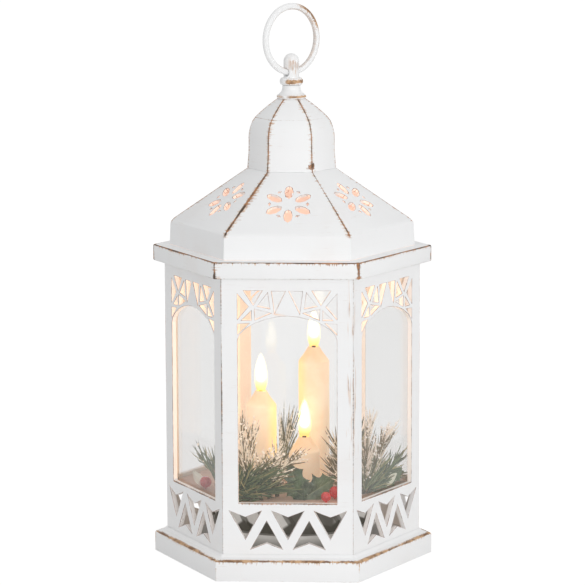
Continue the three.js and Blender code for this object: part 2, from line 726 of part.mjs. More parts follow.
function windowPanes() {
  const width = 2 * (PANE_INNER_FLAT * HALF_SIDE_PER_FLAT - GAP);
  const height = PANEL_TOP - PANE_TOP_GAP - DECK_FOOT;
  const middle = -(PANE_OUTER_FLAT + PANE_INNER_FLAT) / 2;
  eachSide((group, number) => {
    const pane = block(width, PANE_THICKNESS, height, 0, middle, DECK_FOOT);
    addPart("window_pane_" + number, pane, "clear", group);
  });
}

function deck() {
  const plate = prism(sixSidedOutline(cornerOf(DECK_FLAT)), DECK_THICKNESS, DECK_FOOT);
  const bossRadius = CANDLE_RADIUS - CANDLE_WALL - GAP;
  const bosses = CANDLES.map(({ x, y }) => rod(bossRadius, BOSS_HEIGHT + BITE, x, y, DECK_TOP - BITE, 16));
  const holeFoot = DECK_FOOT - BOSS_HEIGHT;
  const holes = CANDLES.map(({ x, y }) => rod(LEAD_RADIUS + LEAD_ROOM, BOSS_HEIGHT * 4, x, y, holeFoot, 10));
  addPart("deck", cutFrom(joined([plate, ...bosses]), holes), "peach");
}

// Cornice, roof and dome

function cornice() {
  const lipOuter = cornerOf(DECK_FLAT);
  const lipInner = cornerOf(DECK_FLAT - CORNICE_LIP_THICKNESS);
  const rimOuter = cornerOf(flatOf(SKIRT_FOOT_CORNER) - ROOF_WALL - GAP);
  const profile = closed([
    [lipInner, PANEL_TOP - CORNICE_LIP_DEPTH],
    [lipOuter, PANEL_TOP - CORNICE_LIP_DEPTH],
    [lipOuter, PANEL_TOP],
    [CORNICE_CORNER - CORNICE_CHAMFER, PANEL_TOP],
    [CORNICE_CORNER, PANEL_TOP + CORNICE_CHAMFER],
    [CORNICE_CORNER, CORNICE_TOP - CORNICE_CHAMFER],
    [CORNICE_CORNER - CORNICE_CHAMFER, CORNICE_TOP],
    [rimOuter, CORNICE_TOP],
    [rimOuter, CORNICE_TOP + ROOF_RIM_HEIGHT],
    [lipInner, CORNICE_TOP + ROOF_RIM_HEIGHT],
  ]);
  addPart("cornice", sixSided(profile), "antique_white");
}

const slopeRun = SKIRT_TOP_CORNER - NECK_CORNER;
const slopeFall = SLOPE_RISE / slopeRun;
const slopeFlatRun = flatOf(slopeRun);
const slopeLength = Math.hypot(slopeFlatRun, SLOPE_RISE);
const slopeAngle = Math.atan2(SLOPE_RISE, slopeFlatRun);
const rosetteHeight = ROSETTE_SHARE * slopeLength;
const roofWallRise = ROOF_WALL / Math.cos(slopeAngle);
const roofBore = cornerOf(flatOf(NECK_CORNER) - ROOF_WALL);

function roofShell() {
  const skirtLean = SKIRT_LEAN / SKIRT_HEIGHT;
  const innerFoot = cornerOf(flatOf(SKIRT_FOOT_CORNER) - ROOF_WALL);
  const innerTopZ = SKIRT_TOP - roofWallRise / 2;
  const innerTop = innerFoot - skirtLean * (innerTopZ - CORNICE_TOP);
  return sixSided(
    closed([
      [innerFoot, CORNICE_TOP],
      [SKIRT_FOOT_CORNER, CORNICE_TOP],
      [SKIRT_TOP_CORNER + skirtLean * SHOULDER_ROUND, SKIRT_TOP - SHOULDER_ROUND],
      [SKIRT_TOP_CORNER - SHOULDER_SOFTENING, SKIRT_TOP - SHOULDER_SOFTENING],
      [SKIRT_TOP_CORNER - SHOULDER_ROUND, SKIRT_TOP + slopeFall * SHOULDER_ROUND],
      [NECK_CORNER, NECK_Z],
      [roofBore, NECK_Z],
      [roofBore, NECK_Z + slopeFall * (NECK_CORNER - roofBore) - roofWallRise],
      [innerTop, SKIRT_TOP - slopeFall * (innerTop - SKIRT_TOP_CORNER) - roofWallRise],
    ]),
  );
}

function ovalOutline(length, width, steps) {
  return circleOutline(1, 0, 0, steps).map(([x, y]) => [(x * length) / 2, (y * width) / 2]);
}

// The rosette's cutters stand on a slope that is laid in the XY plane, and are then tilted onto the roof
function rosetteCutters() {
  const depth = 4 * ROOF_WALL;
  const ring = (outline, radius, turn) =>
    Array.from({ length: PETAL_COUNT }, (_, i) => {
      const cutter = prism(outline, depth, -depth / 2);
      cutter.translate(radius, 0, 0);
      cutter.rotateZ(((i + turn) * 2 * Math.PI) / PETAL_COUNT);
      return cutter;
    });
  const petals = ring(ovalOutline(PETAL_LENGTH, PETAL_WIDTH, PETAL_STEPS), PETAL_CENTRE_RADIUS, 0.5);
  const buds = ring(ovalOutline(BUD_LENGTH, BUD_WIDTH, BUD_STEPS), BUD_CENTRE_RADIUS, 0);
  return [...petals, ...buds].map((cutter) => {
    cutter.rotateX(slopeAngle);
    cutter.translate(
      0,
      -flatOf(SKIRT_TOP_CORNER) + rosetteHeight * Math.cos(slopeAngle),
      SKIRT_TOP + rosetteHeight * Math.sin(slopeAngle),
    );
    return cutter;
  });
}

function roof() {
  let shell = solidOf(roofShell());
  const cutters = rosetteCutters();
  for (let side = 0; side < SIDES; side += 1) {
    for (const cutter of cutters) {
      const placed = cutter.clone();
      placed.rotateZ(side * SIDE_TURN);
      shell = shell.subtract(solidOf(placed));
    }
  }
  addPart("roof", geometryOf(shell), "antique_white");
}

// The dome's outside from neck to top: an almost upright drum, a round shoulder and a short taper
function domeCurve() {
  const rise = (share) => NECK_Z + DOME_RISE * share;
  const across = (share) => DOME_TOP_CORNER + (NECK_CORNER - DOME_TOP_CORNER) * share;
  return new THREE.SplineCurve(
    [
      [1, 0],
      [0.959, 0.22],
      [0.951, 0.39],
      [0.942, 0.508],
      [0.825, 0.68],
      [0.592, 0.794],
      [0.286, 0.909],
      [0, 1],
    ].map(([r, z]) => new THREE.Vector2(across(r), rise(z))),
  );
}

function dome() {
  const outer = domeCurve().getPoints(DOME_STEPS).map(({ x, y }) => [x, y]);
  const wall = cornerOf(DOME_WALL);
  const spigotOuter = roofBore - GAP;
  const spigotInner = spigotOuter - SPIGOT_THICKNESS;
  const inner = outer
    .filter(([, z]) => z < CEILING_Z - 1.4 * DOME_WALL)
    .map(([r, z]) => [Math.max(DOME_CEILING_CORNER, r - wall), z - 0.4 * DOME_WALL])
    .filter(([, z]) => z > NECK_Z + 0.8 * DOME_WALL)
    .reverse();
  const shell = sixSided(
    closed([
      [spigotInner, NECK_Z - SPIGOT_DEPTH],
      [spigotOuter, NECK_Z - SPIGOT_DEPTH],
      [spigotOuter, NECK_Z],
      ...outer,
      [0, DOME_TOP],
      [0, CEILING_Z],
      [DOME_CEILING_CORNER, CEILING_Z],
      ...inner,
    ]),
  );
  const hole = rod(EYE_SHANK_RADIUS + SHANK_GAP, 3 * DOME_CEILING, 0, 0, CEILING_Z - DOME_CEILING, 16);
  addPart("dome", cutFrom(shell, [hole]), "antique_white");
}

// Finial, eye and ring

const shankBore = EYE_SHANK_RADIUS + SHANK_GAP;

function finial() {
  const rim = DOME_TOP + COLLAR_HEIGHT;
  const profile = closed([
    [shankBore, DOME_TOP],
    [COLLAR_RADIUS - COLLAR_ROUND, DOME_TOP],
    [COLLAR_RADIUS, DOME_TOP + COLLAR_ROUND],
    [COLLAR_RADIUS, rim - COLLAR_ROUND],
    [COLLAR_RADIUS - COLLAR_ROUND, rim],
    [NECK_RADIUS + 0.42 * (COLLAR_RADIUS - NECK_RADIUS), rim + 0.5 * COLLAR_HEIGHT],
    [NECK_RADIUS + 0.1 * (COLLAR_RADIUS - NECK_RADIUS), rim + 1.1 * COLLAR_HEIGHT],
    [NECK_RADIUS, rim + 1.7 * COLLAR_HEIGHT],
    [NECK_RADIUS, BEAD_Z],
    [shankBore, BEAD_Z],
  ]);
  addPart("finial", turned(profile, 24), "antique_white");
}

function hangingEye() {
  const beadSteps = 7;
  const bead = Array.from({ length: beadSteps }, (_, i) => {
    const angle = (Math.PI * i) / (beadSteps - 1);
    const swell = BEAD_RADIUS - EYE_RADIUS;
    return [EYE_RADIUS + swell * Math.sin(angle) ** 0.6, BEAD_Z + (BEAD_HEIGHT * (1 - Math.cos(angle))) / 2];
  });
  const capSteps = 6;
  const capZ = EYE_Z + EYE_HEIGHT - EYE_RADIUS;
  const cap = Array.from({ length: capSteps }, (_, i) => {
    const angle = (Math.PI * i) / 2 / capSteps;
    return [EYE_RADIUS * Math.cos(angle), capZ + EYE_RADIUS * Math.sin(angle)];
  });
  const body = turned(
    [
      [0, CEILING_Z - SHANK_BELOW_CEILING],
      [EYE_SHANK_RADIUS, CEILING_Z - SHANK_BELOW_CEILING],
      [EYE_SHANK_RADIUS, BEAD_Z],
      ...bead,
      ...cap,
      [0, EYE_Z + EYE_HEIGHT],
    ],
    24,
  );
  const hole = new THREE.CylinderGeometry(EYE_HOLE_RADIUS, EYE_HOLE_RADIUS, 4 * EYE_RADIUS, 20);
  hole.rotateZ(Math.PI / 2);
  hole.rotateZ(RING_TURN);
  hole.translate(0, 0, HOLE_Z);
  addPart("hanging_eye", cutFrom(body, [hole]), "white_metal");
}

function eyeFasteners() {
  const washerFoot = CEILING_Z - WASHER_THICKNESS;
  const washer = turned(
    closed([
      [shankBore, washerFoot],
      [WASHER_RADIUS, washerFoot],
      [WASHER_RADIUS, CEILING_Z],
      [shankBore, CEILING_Z],
    ]),
    20,
  );
  addPart("eye_washer", washer, "steel");
  const nutFoot = washerFoot - NUT_THICKNESS;
  const blank = prism(sixSidedOutline(NUT_CORNER), NUT_THICKNESS, nutFoot);
  const bore = rod(shankBore, 2 * NUT_THICKNESS, 0, 0, nutFoot - NUT_THICKNESS / 2, 16);
  addPart("eye_nut", cutFrom(blank, [bore]), "steel");
}

function ringHandle() {
  const ring = new THREE.TorusGeometry(RING_RADIUS, RING_WIRE_RADIUS, 10, 32);
  ring.rotateX(Math.PI / 2);
  const handle = new THREE.Group();
  handle.position.z = RING_Z;
  handle.rotation.z = RING_TURN;
  lantern.add(handle);
  addPart("ring_handle", ring, "white_metal", handle);
}

// Candles

function candle({ name, x, y, height }) {
  const shoulder = DECK_TOP + height;
  const coneTop = shoulder + CONE_RISE;
  const bore = CANDLE_RADIUS - CANDLE_WALL;
  const socket = FLAME_STEM_RADIUS + GAP;
  const sleeve = turned(
    closed([
      [bore, DECK_TOP],
      [CANDLE_RADIUS, DECK_TOP],
      [CANDLE_RADIUS, shoulder - CANDLE_ROUND],
      [CANDLE_RADIUS - CANDLE_ROUND, shoulder + CANDLE_ROUND * 0.6],
      [CONE_TOP_RADIUS + CANDLE_ROUND / 2, coneTop - CANDLE_ROUND / 2],
      [CONE_TOP_RADIUS, coneTop],
      [socket, coneTop],
      [socket, coneTop - CONE_WALL],
      [bore, shoulder - CANDLE_WALL],
    ]),
    20,
  );
  addPart("candle_" + name, sleeve, "wax").position.set(x, y, 0);
  addPart("flame_" + name, flame(coneTop), "flame").position.set(x, y, 0);
  addPart("led_" + name, led(coneTop - LED_DEPTH), "led").position.set(x, y, 0);
  const leadTop = coneTop - LED_DEPTH - GAP;
  const lead = rod(LEAD_RADIUS, leadTop - boardTop - GAP, x, y, boardTop + GAP, 8);
  addPart("led_lead_" + name, lead, "wire");
}

// A flame-shaped lens on a stem, hollow at the foot for the LED
function flame(foot) {
  const swell = [
    [0.78, 0.07],
    [0.95, 0.2],
    [1, 0.36],
    [0.93, 0.52],
    [0.74, 0.7],
    [0.47, 0.86],
    [0.22, 0.96],
    [0, 1],
  ];
  const bore = LED_RADIUS + GAP;
  const boreTop = foot - LED_DEPTH + LED_HEIGHT + GAP;
  return turned(
    [
      [0, boreTop + 0.5 * bore],
      [0.7 * bore, boreTop],
      [bore, boreTop - 0.5 * bore],
      [bore, foot - FLAME_STEM_DEPTH],
      [FLAME_STEM_RADIUS, foot - FLAME_STEM_DEPTH],
      [FLAME_STEM_RADIUS, foot + GAP],
      ...swell.map(([r, z]) => [r * FLAME_RADIUS, foot + z * FLAME_HEIGHT]),
    ],
    14,
  );
}

function led(foot) {
  const domeZ = foot + LED_HEIGHT - LED_RADIUS;
  const steps = 3;
  const cap = Array.from({ length: steps }, (_, i) => {
    const angle = (Math.PI * i) / 2 / steps;
    return [LED_RADIUS * Math.cos(angle), domeZ + LED_RADIUS * Math.sin(angle)];
  });
  return turned([[0, foot], [LED_RADIUS, foot], ...cap, [0, foot + LED_HEIGHT]], 12);
}

// Decoration. Every twig grows only where it is clear of the candles, the panes and what stands there.

// Places and lengths in it are shares of the deck's flat, with heights above the deck.
const onDeck = ([x, y, z]) => new THREE.Vector3(x * DECK_FLAT, y * DECK_FLAT, DECK_TOP + z * DECK_FLAT);

// A rod from the deck to just past a point
function stalk(radius, top, sides) {
  return rod(radius, top.z - DECK_TOP + BITE, top.x, top.y, DECK_TOP, sides);
}

const taken = [];

function markTaken(owner, point, reach) {
  taken.push({ owner, point: point.clone(), reach });
}

function isClear(owner, point, reach) {
  for (let side = 0; side < SIDES; side += 1) {
    const angle = (side + 0.5) * SIDE_TURN;
    const outward = point.x * Math.cos(angle) + point.y * Math.sin(angle);
    if (outward > PANE_INNER_FLAT - GAP - reach) return false;
  }
  if (point.z < DECK_TOP + GAP + reach) return false;
  for (const { x, y, height } of CANDLES) {
    const away = Math.hypot(point.x - x, point.y - y);
    const top = DECK_TOP + height + CONE_RISE + FLAME_HEIGHT;
    if (point.z < top + reach && away < CANDLE_RADIUS + GAP + reach) return false;
  }
  return taken.every((t) => t.owner === owner || t.point.distanceTo(point) > t.reach + reach + GAP);
}

// How far a straight needle can run from a point
function clearLength(owner, start, direction, length) {
  const point = new THREE.Vector3();
  for (let run = 2; run <= length; run += 1) {
    point.copy(direction).multiplyScalar(run).add(start);
    if (!isClear(owner, point, NEEDLE_RADIUS + NEEDLE_ROOM)) return run - 1;
  }
  return length;
}

function needle(start, direction, length) {
  const cone = new THREE.ConeGeometry(NEEDLE_RADIUS, length, 3);
  cone.translate(0, length / 2, 0);
  const up = new THREE.Vector3(0, 1, 0);
  cone.applyQuaternion(new THREE.Quaternion().setFromUnitVectors(up, direction));
  cone.translate(start.x, start.y, start.z);
  return cone;
}

const GOLDEN_ANGLE = Math.PI * (3 - Math.sqrt(5));

// A stem along a curve with needles set round it, leaning towards the tip
function pineSprig({ name, stem, needles, reach, bare = 0.12 }) {
  const points = stem.map(onDeck);
  const length = reach * DECK_FLAT;
  const route = new THREE.CatmullRomCurve3(points);
  const foot = stalk(STALK_RADIUS, points[0], 6);
  const pieces = [foot, cable(route, STEM_RADIUS, 7, 6)];
  const ownPoints = [];
  for (let i = 0; i < needles; i += 1) {
    const share = bare + ((1 - bare) * (i + 0.5)) / needles;
    const start = route.getPointAt(share);
    const ahead = route.getTangentAt(share);
    const side = new THREE.Vector3(0, 0, 1).cross(ahead);
    if (side.lengthSq() < 1e-4) side.set(1, 0, 0);
    side.normalize().applyAxisAngle(ahead, i * GOLDEN_ANGLE);
    const lean = 0.55 + 0.35 * share + 0.12 * Math.sin(i * 2.7);
    const direction = ahead.clone().multiplyScalar(lean).addScaledVector(side, 1 - lean * 0.5).normalize();
    const full = length * (0.82 + 0.18 * Math.sin(i * 1.9));
    const run = clearLength(name, start, direction, full);
    if (run < full * 0.45) continue;
    pieces.push(needle(start, direction, run));
    for (let at = 0; at <= run; at += 1.2) {
      ownPoints.push(start.clone().addScaledVector(direction, at));
    }
  }
  for (let i = 0; i <= 12; i += 1) {
    markTaken(name, route.getPointAt(i / 12), STEM_RADIUS);
  }
  ownPoints.forEach((point) => markTaken(name, point, NEEDLE_RADIUS + NEEDLE_ROOM));
  addPart(name, joined(pieces), "pine");
}

const SPRIGS = [
  {
    name: "pine_sprig_front_left",
    stem: [[-0.2, -0.785, 0.021], [-0.343, -0.714, 0.1], [-0.471, -0.628, 0.271], [-0.543, -0.543, 0.457]],
    needles: 40,
    reach: 0.243,
  },
  {
    name: "pine_sprig_front",
    stem: [[-0.128, -0.714, 0.021], [-0.128, -0.671, 0.171], [-0.114, -0.6, 0.371], [-0.086, -0.514, 0.6]],
    needles: 38,
    reach: 0.228,
  },
  {
    name: "pine_sprig_right",
    stem: [[0.685, -0.286, 0.021], [0.757, -0.257, 0.2], [0.814, -0.2, 0.4], [0.828, -0.128, 0.628]],
    needles: 40,
    reach: 0.228,
  },
  {
    name: "pine_sprig_right_back",
    stem: [[0.571, -0.114, 0.021], [0.628, 0, 0.171], [0.657, 0.143, 0.371], [0.628, 0.257, 0.571]],
    needles: 36,
    reach: 0.228,
  },
  {
    name: "pine_sprig_left",
    stem: [[-0.628, -0.543, 0.021], [-0.685, -0.428, 0.128], [-0.742, -0.286, 0.243], [-0.785, -0.171, 0.343]],
    needles: 30,
    reach: 0.2,
  },
];

// A leaf is a thin folded sheet whose half width follows a formula, with points along its edge.
// Its length and width are shares of the deck's flat.
function leafGeometry({ long, wide, spines, fold, arch }) {
  const length = long * DECK_FLAT;
  const width = wide * DECK_FLAT;
  const rows = 4 * Math.max(2, spines);
  const columns = [-1, -0.5, 0, 0.5, 1];
  const positions = [];
  const halfWidth = (t) => {
    const body = Math.sin(Math.PI * (0.04 + 0.92 * t)) ** 0.75;
    const wave = spines ? 1 - 0.3 * Math.abs(Math.sin(Math.PI * spines * t)) : 1;
    return (width / 2) * body * wave + LEAF_TIP;
  };
  for (const level of [1, -1]) {
    for (let i = 0; i <= rows; i += 1) {
      const t = i / rows;
      for (const c of columns) {
        const across = c * halfWidth(t);
        const lift = fold * Math.abs(across) + arch * t * t * length;
        positions.push(across, t * length, lift + (level * LEAF_THICKNESS) / 2);
      }
    }
  }
  const n = columns.length;
  const sheet = (rows + 1) * n;
  const index = [];
  const quad = (a, b, c, d) => index.push(a, b, c, a, c, d);
  for (let i = 0; i < rows; i += 1) {
    for (let j = 0; j < n - 1; j += 1) {
      const a = i * n + j;
      quad(a, a + 1, a + n + 1, a + n);
      quad(sheet + a, sheet + a + n, sheet + a + n + 1, sheet + a + 1);
    }
    const left = i * n;
    const right = left + n - 1;
    quad(left, left + n, sheet + left + n, sheet + left);
    quad(right, sheet + right, sheet + right + n, right + n);
  }
  for (let j = 0; j < n - 1; j += 1) {
    const last = rows * n + j;
    quad(j, sheet + j, sheet + j + 1, j + 1);
    quad(last, last + 1, sheet + last + 1, sheet + last);
  }
  const geometry = new THREE.BufferGeometry();
  geometry.setAttribute("position", new THREE.Float32BufferAttribute(positions, 3));
  geometry.setIndex(index);
  return geometry;
}

// Lays a leaf from its foot, pitched up from the deck, rolled about its midrib and turned to a heading
function placedLeaf(foot, { heading, pitch, roll, ...shape }) {
  const leaf = leafGeometry(shape);
  const rad = THREE.MathUtils.degToRad;
  leaf.rotateY(rad(roll));
  leaf.rotateX(rad(pitch));
  leaf.rotateZ(rad(heading - 90));
  leaf.translate(...onDeck(foot).toArray());
  return leaf;
}

function markLeaf(owner, geometry) {
  const points = geometry.attributes.position;
  for (let i = 0; i < points.count; i += 1) {
    markTaken(owner, new THREE.Vector3().fromBufferAttribute(points, i), LEAF_ROOM);
  }
}

const HOLLY_FOOT = [0.171, -0.771, 0.031];
const HOLLY_LEAVES = [
  { heading: 105, pitch: 47, roll: 12, long: 0.357, wide: 0.214, spines: 3, fold: 0.3, arch: 0 },
  { heading: 28, pitch: 22, roll: -18, long: 0.343, wide: 0.243, spines: 3, fold: 0.3, arch: 0 },
  { heading: 190, pitch: 14, roll: 5, long: 0.243, wide: 0.171, spines: 3, fold: 0.25, arch: 0 },
];

const IVORY_FOOT = [0.828, -0.029, 0.036];
const IVORY_LEAVES = [
  { heading: 20, pitch: 40, roll: 0, long: 0.186, wide: 0.114, spines: 0, fold: 0.2, arch: 0.1 },
];

function leaves(name, foot, shapes, finish) {
  const blades = shapes.map((shape) => placedLeaf(foot, shape));
  blades.forEach((blade) => markLeaf(name, blade));
  addPart(name, joined([stalk(STALK_RADIUS, onDeck(foot), 8), ...blades]), finish);
}

// Berries on short wire stalks that stand on the deck, tied at the foot by a link
function berries(name, places) {
  const pieces = places.flatMap(([x, y, radius]) => {
    const centre = onDeck([x, y, 0]);
    centre.z += radius + BERRY_RISE;
    const berry = new THREE.SphereGeometry(radius, 12, 8);
    berry.rotateX(Math.PI / 2);
    berry.translate(centre.x, centre.y, centre.z);
    markTaken(name, centre, radius);
    return [berry, rod(BERRY_STALK_RADIUS, radius, centre.x, centre.y, DECK_TOP, 6)];
  });
  for (let i = 1; i < places.length; i += 1) {
    const from = onDeck([...places[i - 1].slice(0, 2), 0]);
    const to = onDeck([...places[i].slice(0, 2), 0]);
    const link = block(from.distanceTo(to), BERRY_LINK, BERRY_LINK, 0, 0, 0);
    link.rotateZ(Math.atan2(to.y - from.y, to.x - from.x));
    link.translate((from.x + to.x) / 2, (from.y + to.y) / 2, DECK_TOP);
    pieces.push(link);
  }
  addPart(name, joined(pieces), "berry");
}

plinth();
basePlate();
baseScrews();
batteryBay();
cells();
contacts();
circuitBoard();
batteryHousing();
batteryDoor();
switchParts();
sidePanels();
windowPanes();
deck();
cornice();
roof();
dome();
finial();
hangingEye();
eyeFasteners();
ringHandle();
CANDLES.forEach(candle);
leaves("holly_spray", HOLLY_FOOT, HOLLY_LEAVES, "holly");
leaves("ivory_leaf", IVORY_FOOT, IVORY_LEAVES, "ivory");
berries("berry_left", [[-0.831, -0.357, BERRY_RADIUS]]);
berries("berry_pair", [[0.438, -0.742, BERRY_RADIUS], [0.357, -0.907, SMALL_BERRY_RADIUS]]);
SPRIGS.forEach(pineSprig);

export default lantern;
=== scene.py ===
"""Looks of the six-sided LED candle lantern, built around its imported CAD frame."""

import json
import math

import bmesh
import bpy
import numpy as np
from mathutils import Matrix, Vector

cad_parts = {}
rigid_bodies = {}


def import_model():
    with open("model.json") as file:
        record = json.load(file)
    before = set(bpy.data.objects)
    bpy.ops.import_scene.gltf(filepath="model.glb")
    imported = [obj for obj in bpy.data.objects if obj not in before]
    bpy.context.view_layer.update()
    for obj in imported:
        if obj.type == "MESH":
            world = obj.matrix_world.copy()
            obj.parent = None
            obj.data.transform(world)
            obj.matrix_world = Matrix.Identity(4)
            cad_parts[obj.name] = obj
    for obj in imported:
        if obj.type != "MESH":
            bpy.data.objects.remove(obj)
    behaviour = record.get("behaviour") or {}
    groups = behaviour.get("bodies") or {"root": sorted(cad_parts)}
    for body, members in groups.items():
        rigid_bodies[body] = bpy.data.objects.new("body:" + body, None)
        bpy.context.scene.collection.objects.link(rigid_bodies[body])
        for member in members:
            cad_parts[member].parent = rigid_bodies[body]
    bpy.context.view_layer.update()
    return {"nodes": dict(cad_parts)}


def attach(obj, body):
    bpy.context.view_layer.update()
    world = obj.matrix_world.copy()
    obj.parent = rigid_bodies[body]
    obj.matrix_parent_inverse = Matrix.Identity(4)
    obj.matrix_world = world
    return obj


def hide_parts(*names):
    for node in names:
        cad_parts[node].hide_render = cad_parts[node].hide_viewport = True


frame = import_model()

MM = 0.001
SIXTH = math.pi / 3
BODY = "lantern"

# Sizes that the part's source also has, in millimetres
BODY_FLAT = 87 * math.cos(SIXTH / 2)
PANEL_WALL, PANE_PLAY, PANE_WALL = 3.2, 0.3, 1.5
PANE_IN = BODY_FLAT - PANEL_WALL - PANE_PLAY - PANE_WALL
PLINTH_RIM = 13.7
DECK_TOP = 49.7
SILL_Z = 51.3
CORNICE_FOOT = 203.3
CORNICE_TOP = 214.2
SKIRT_TOP = 230.7
NECK_Z = 266.6
DOME_CREASE = 301.0
SHANK_FOOT = 302.5
DOME_TOP = 313.8
BEAD_FOOT = DOME_TOP + 9.1
BEAD_HEIGHT = 5
BULLET_FOOT = BEAD_FOOT + BEAD_HEIGHT
BULLET_HEIGHT = 16.2
EYE_RADIUS = 5.25
HOLE_Z = 331.5
HOLE_RADIUS = 3.05
RING_Z = 353.6
RING_REACH = 22.1
RING_WIRE = 2.15
RING_TURN = math.radians(42.2)
CANDLES = {"tall": (14.3, 12.0, 82.4), "middle": (-21.6, 0.0, 53.7), "short": (8.8, -15.0, 25.0)}
CANDLE_RADIUS = 10.6
CANDLE_BORE = 9.2
CONE_RISE = 9.7
FLAME_HEIGHT = 26.2


# Shader values


def linear(r, g, b):
    """A colour picked as 0 to 255 screen values."""
    shares = [c / 255 for c in (r, g, b)]
    return (*(c / 12.92 if c <= 0.04045 else ((c + 0.055) / 1.055) ** 2.4 for c in shares), 1)


class Wire:
    """One output socket that Python's operators turn into Math nodes."""

    def __init__(self, finish, socket):
        self.finish, self.socket = finish, socket

    def math(self, operation, *others):
        return self.finish.node("ShaderNodeMath", {"operation": operation}, (self, *others))

    def __add__(self, other):
        return self.math("ADD", other)

    def __radd__(self, other):
        return self.math("ADD", other)

    def __sub__(self, other):
        return self.math("SUBTRACT", other)

    def __rsub__(self, other):
        return self.finish.node("ShaderNodeMath", {"operation": "SUBTRACT"}, (other, self))

    def __mul__(self, other):
        return self.math("MULTIPLY", other)

    def __rmul__(self, other):
        return self.math("MULTIPLY", other)

    def __truediv__(self, other):
        return self.math("DIVIDE", other)

    def __pow__(self, other):
        return self.math("POWER", other)

    def __abs__(self):
        return self.math("ABSOLUTE")

    def least(self, other):
        return self.math("MINIMUM", other)

    def most(self, other):
        return self.math("MAXIMUM", other)

    def step(self, low, high):
        """0 below low, 1 above high and smooth between. With high below low it falls."""
        return self.finish.node(
            "ShaderNodeMapRange",
            {"interpolation_type": "SMOOTHSTEP"},
            {"Value": self, "From Min": low, "From Max": high, "To Min": 0.0, "To Max": 1.0},
        )


class Finish:
    """A material, or the world, under construction. place is the object coordinates in metres, for noise, and
    x, y and z are the same in millimetres, for places on the lantern."""

    def __init__(self, name, kind="materials"):
        self.made = getattr(bpy.data, kind).new(name)
        self.made.use_nodes = True
        self.nodes, self.links = self.made.node_tree.nodes, self.made.node_tree.links
        self.nodes.clear()
        self.place = self.node("ShaderNodeTexCoord", output="Object")
        scale = {"Vector": self.place, "Scale": 1 / MM}
        in_mm = self.node("ShaderNodeVectorMath", {"operation": "SCALE"}, scale)
        split = self.node("ShaderNodeSeparateXYZ", None, (in_mm,)).socket.node
        self.x, self.y, self.z = (Wire(self, output) for output in split.outputs)

    def node(self, kind, settings=None, inputs=(), output=0):
        """A new node's output. settings are its properties, inputs the values or wires of its sockets."""
        made = self.nodes.new(kind)
        for key, value in (settings or {}).items():
            setattr(made, key, value)
        for key, value in inputs.items() if isinstance(inputs, dict) else enumerate(inputs):
            if isinstance(value, Wire):
                self.links.new(value.socket, made.inputs[key])
            else:
                made.inputs[key].default_value = value
        return Wire(self, made.outputs[output])

    def attribute(self, name):
        return self.node("ShaderNodeAttribute", {"attribute_name": name}, output="Fac")

    def scaled(self, x, y, z):
        """Object coordinates times a factor for each axis."""
        return self.node("ShaderNodeMapping", None, {"Vector": self.place, "Scale": (x, y, z)})

    def noise(self, vector, scale, detail, roughness, seed=0.0):
        shift = (seed, seed * 1.7, seed * 0.6)
        shifted = self.node("ShaderNodeVectorMath", {"operation": "ADD"}, (vector, shift))
        inputs = {"Vector": shifted, "Scale": scale, "Detail": detail, "Roughness": roughness}
        return self.node("ShaderNodeTexNoise", None, inputs)

    def streaks(self, scales, detail, roughness, seed=0.0):
        """Noise drawn out by a scale for each axis."""
        return self.noise(self.scaled(*scales), 1.0, detail, roughness, seed)

    def mix(self, factor, a, b):
        return self.node("ShaderNodeMix", {"data_type": "RGBA"}, {0: factor, 6: a, 7: b}, output=2)

    def bump(self, height, distance, strength):
        inputs = {"Height": height, "Distance": distance, "Strength": strength}
        return self.node("ShaderNodeBump", None, inputs)

    def surface(self, **sockets):
        """The Principled shader, with underscores for the spaces in its socket names."""
        inputs = {key.replace("_", " "): value for key, value in sockets.items()}
        return self.end(self.node("ShaderNodeBsdfPrincipled", None, inputs))

    def end(self, shader, output="ShaderNodeOutputMaterial"):
        self.links.new(shader.socket, self.nodes.new(output).inputs["Surface"])
        return self.made


# Paint: white brushed over copper brown, rubbed through at ridges and edges

BLACK = linear(0, 0, 0)
WHITE = linear(246, 246, 246)
THIN_WHITE = linear(238, 232, 228)
SCRATCHED = linear(206, 190, 176)
CANDLELIT_LINING = linear(252, 234, 216)
CANDLELIT_PINK_LINING = linear(244, 208, 184)
UMBER = linear(88, 72, 60)
COPPER = linear(178, 128, 90)
TAN = linear(226, 194, 164)
WORN_TAN = (linear(158, 122, 92), linear(214, 174, 136))
CANDLELIGHT = linear(255, 222, 192)


class SixSided:
    """Places on the six-sided shell, in millimetres: how far from the axis, across the nearest corner ridge,
    out to the flat side and along that side from its middle."""

    def __init__(self, f):
        self.radius = (f.x * f.x + f.y * f.y) ** 0.5
        off_corner = f.y.math("ARCTAN2", f.x).math("WRAP", SIXTH / 2, -SIXTH / 2)
        off_middle = SIXTH / 2 - abs(off_corner)
        self.from_ridge = abs(self.radius * off_corner.math("SINE"))
        self.out = self.radius * off_middle.math("COSINE")
        self.off_middle = self.radius * off_middle.math("SINE")


class Wear:
    """Where paint is rubbed through: a dark core on an edge, and fine tan strokes that cross it."""

    def __init__(self, core, strokes):
        self.core, self.strokes = core, strokes

    def __or__(self, other):
        return Wear(self.core.most(other.core), self.strokes.most(other.strokes))

    def __mul__(self, share):
        return Wear(self.core * share, self.strokes * share)


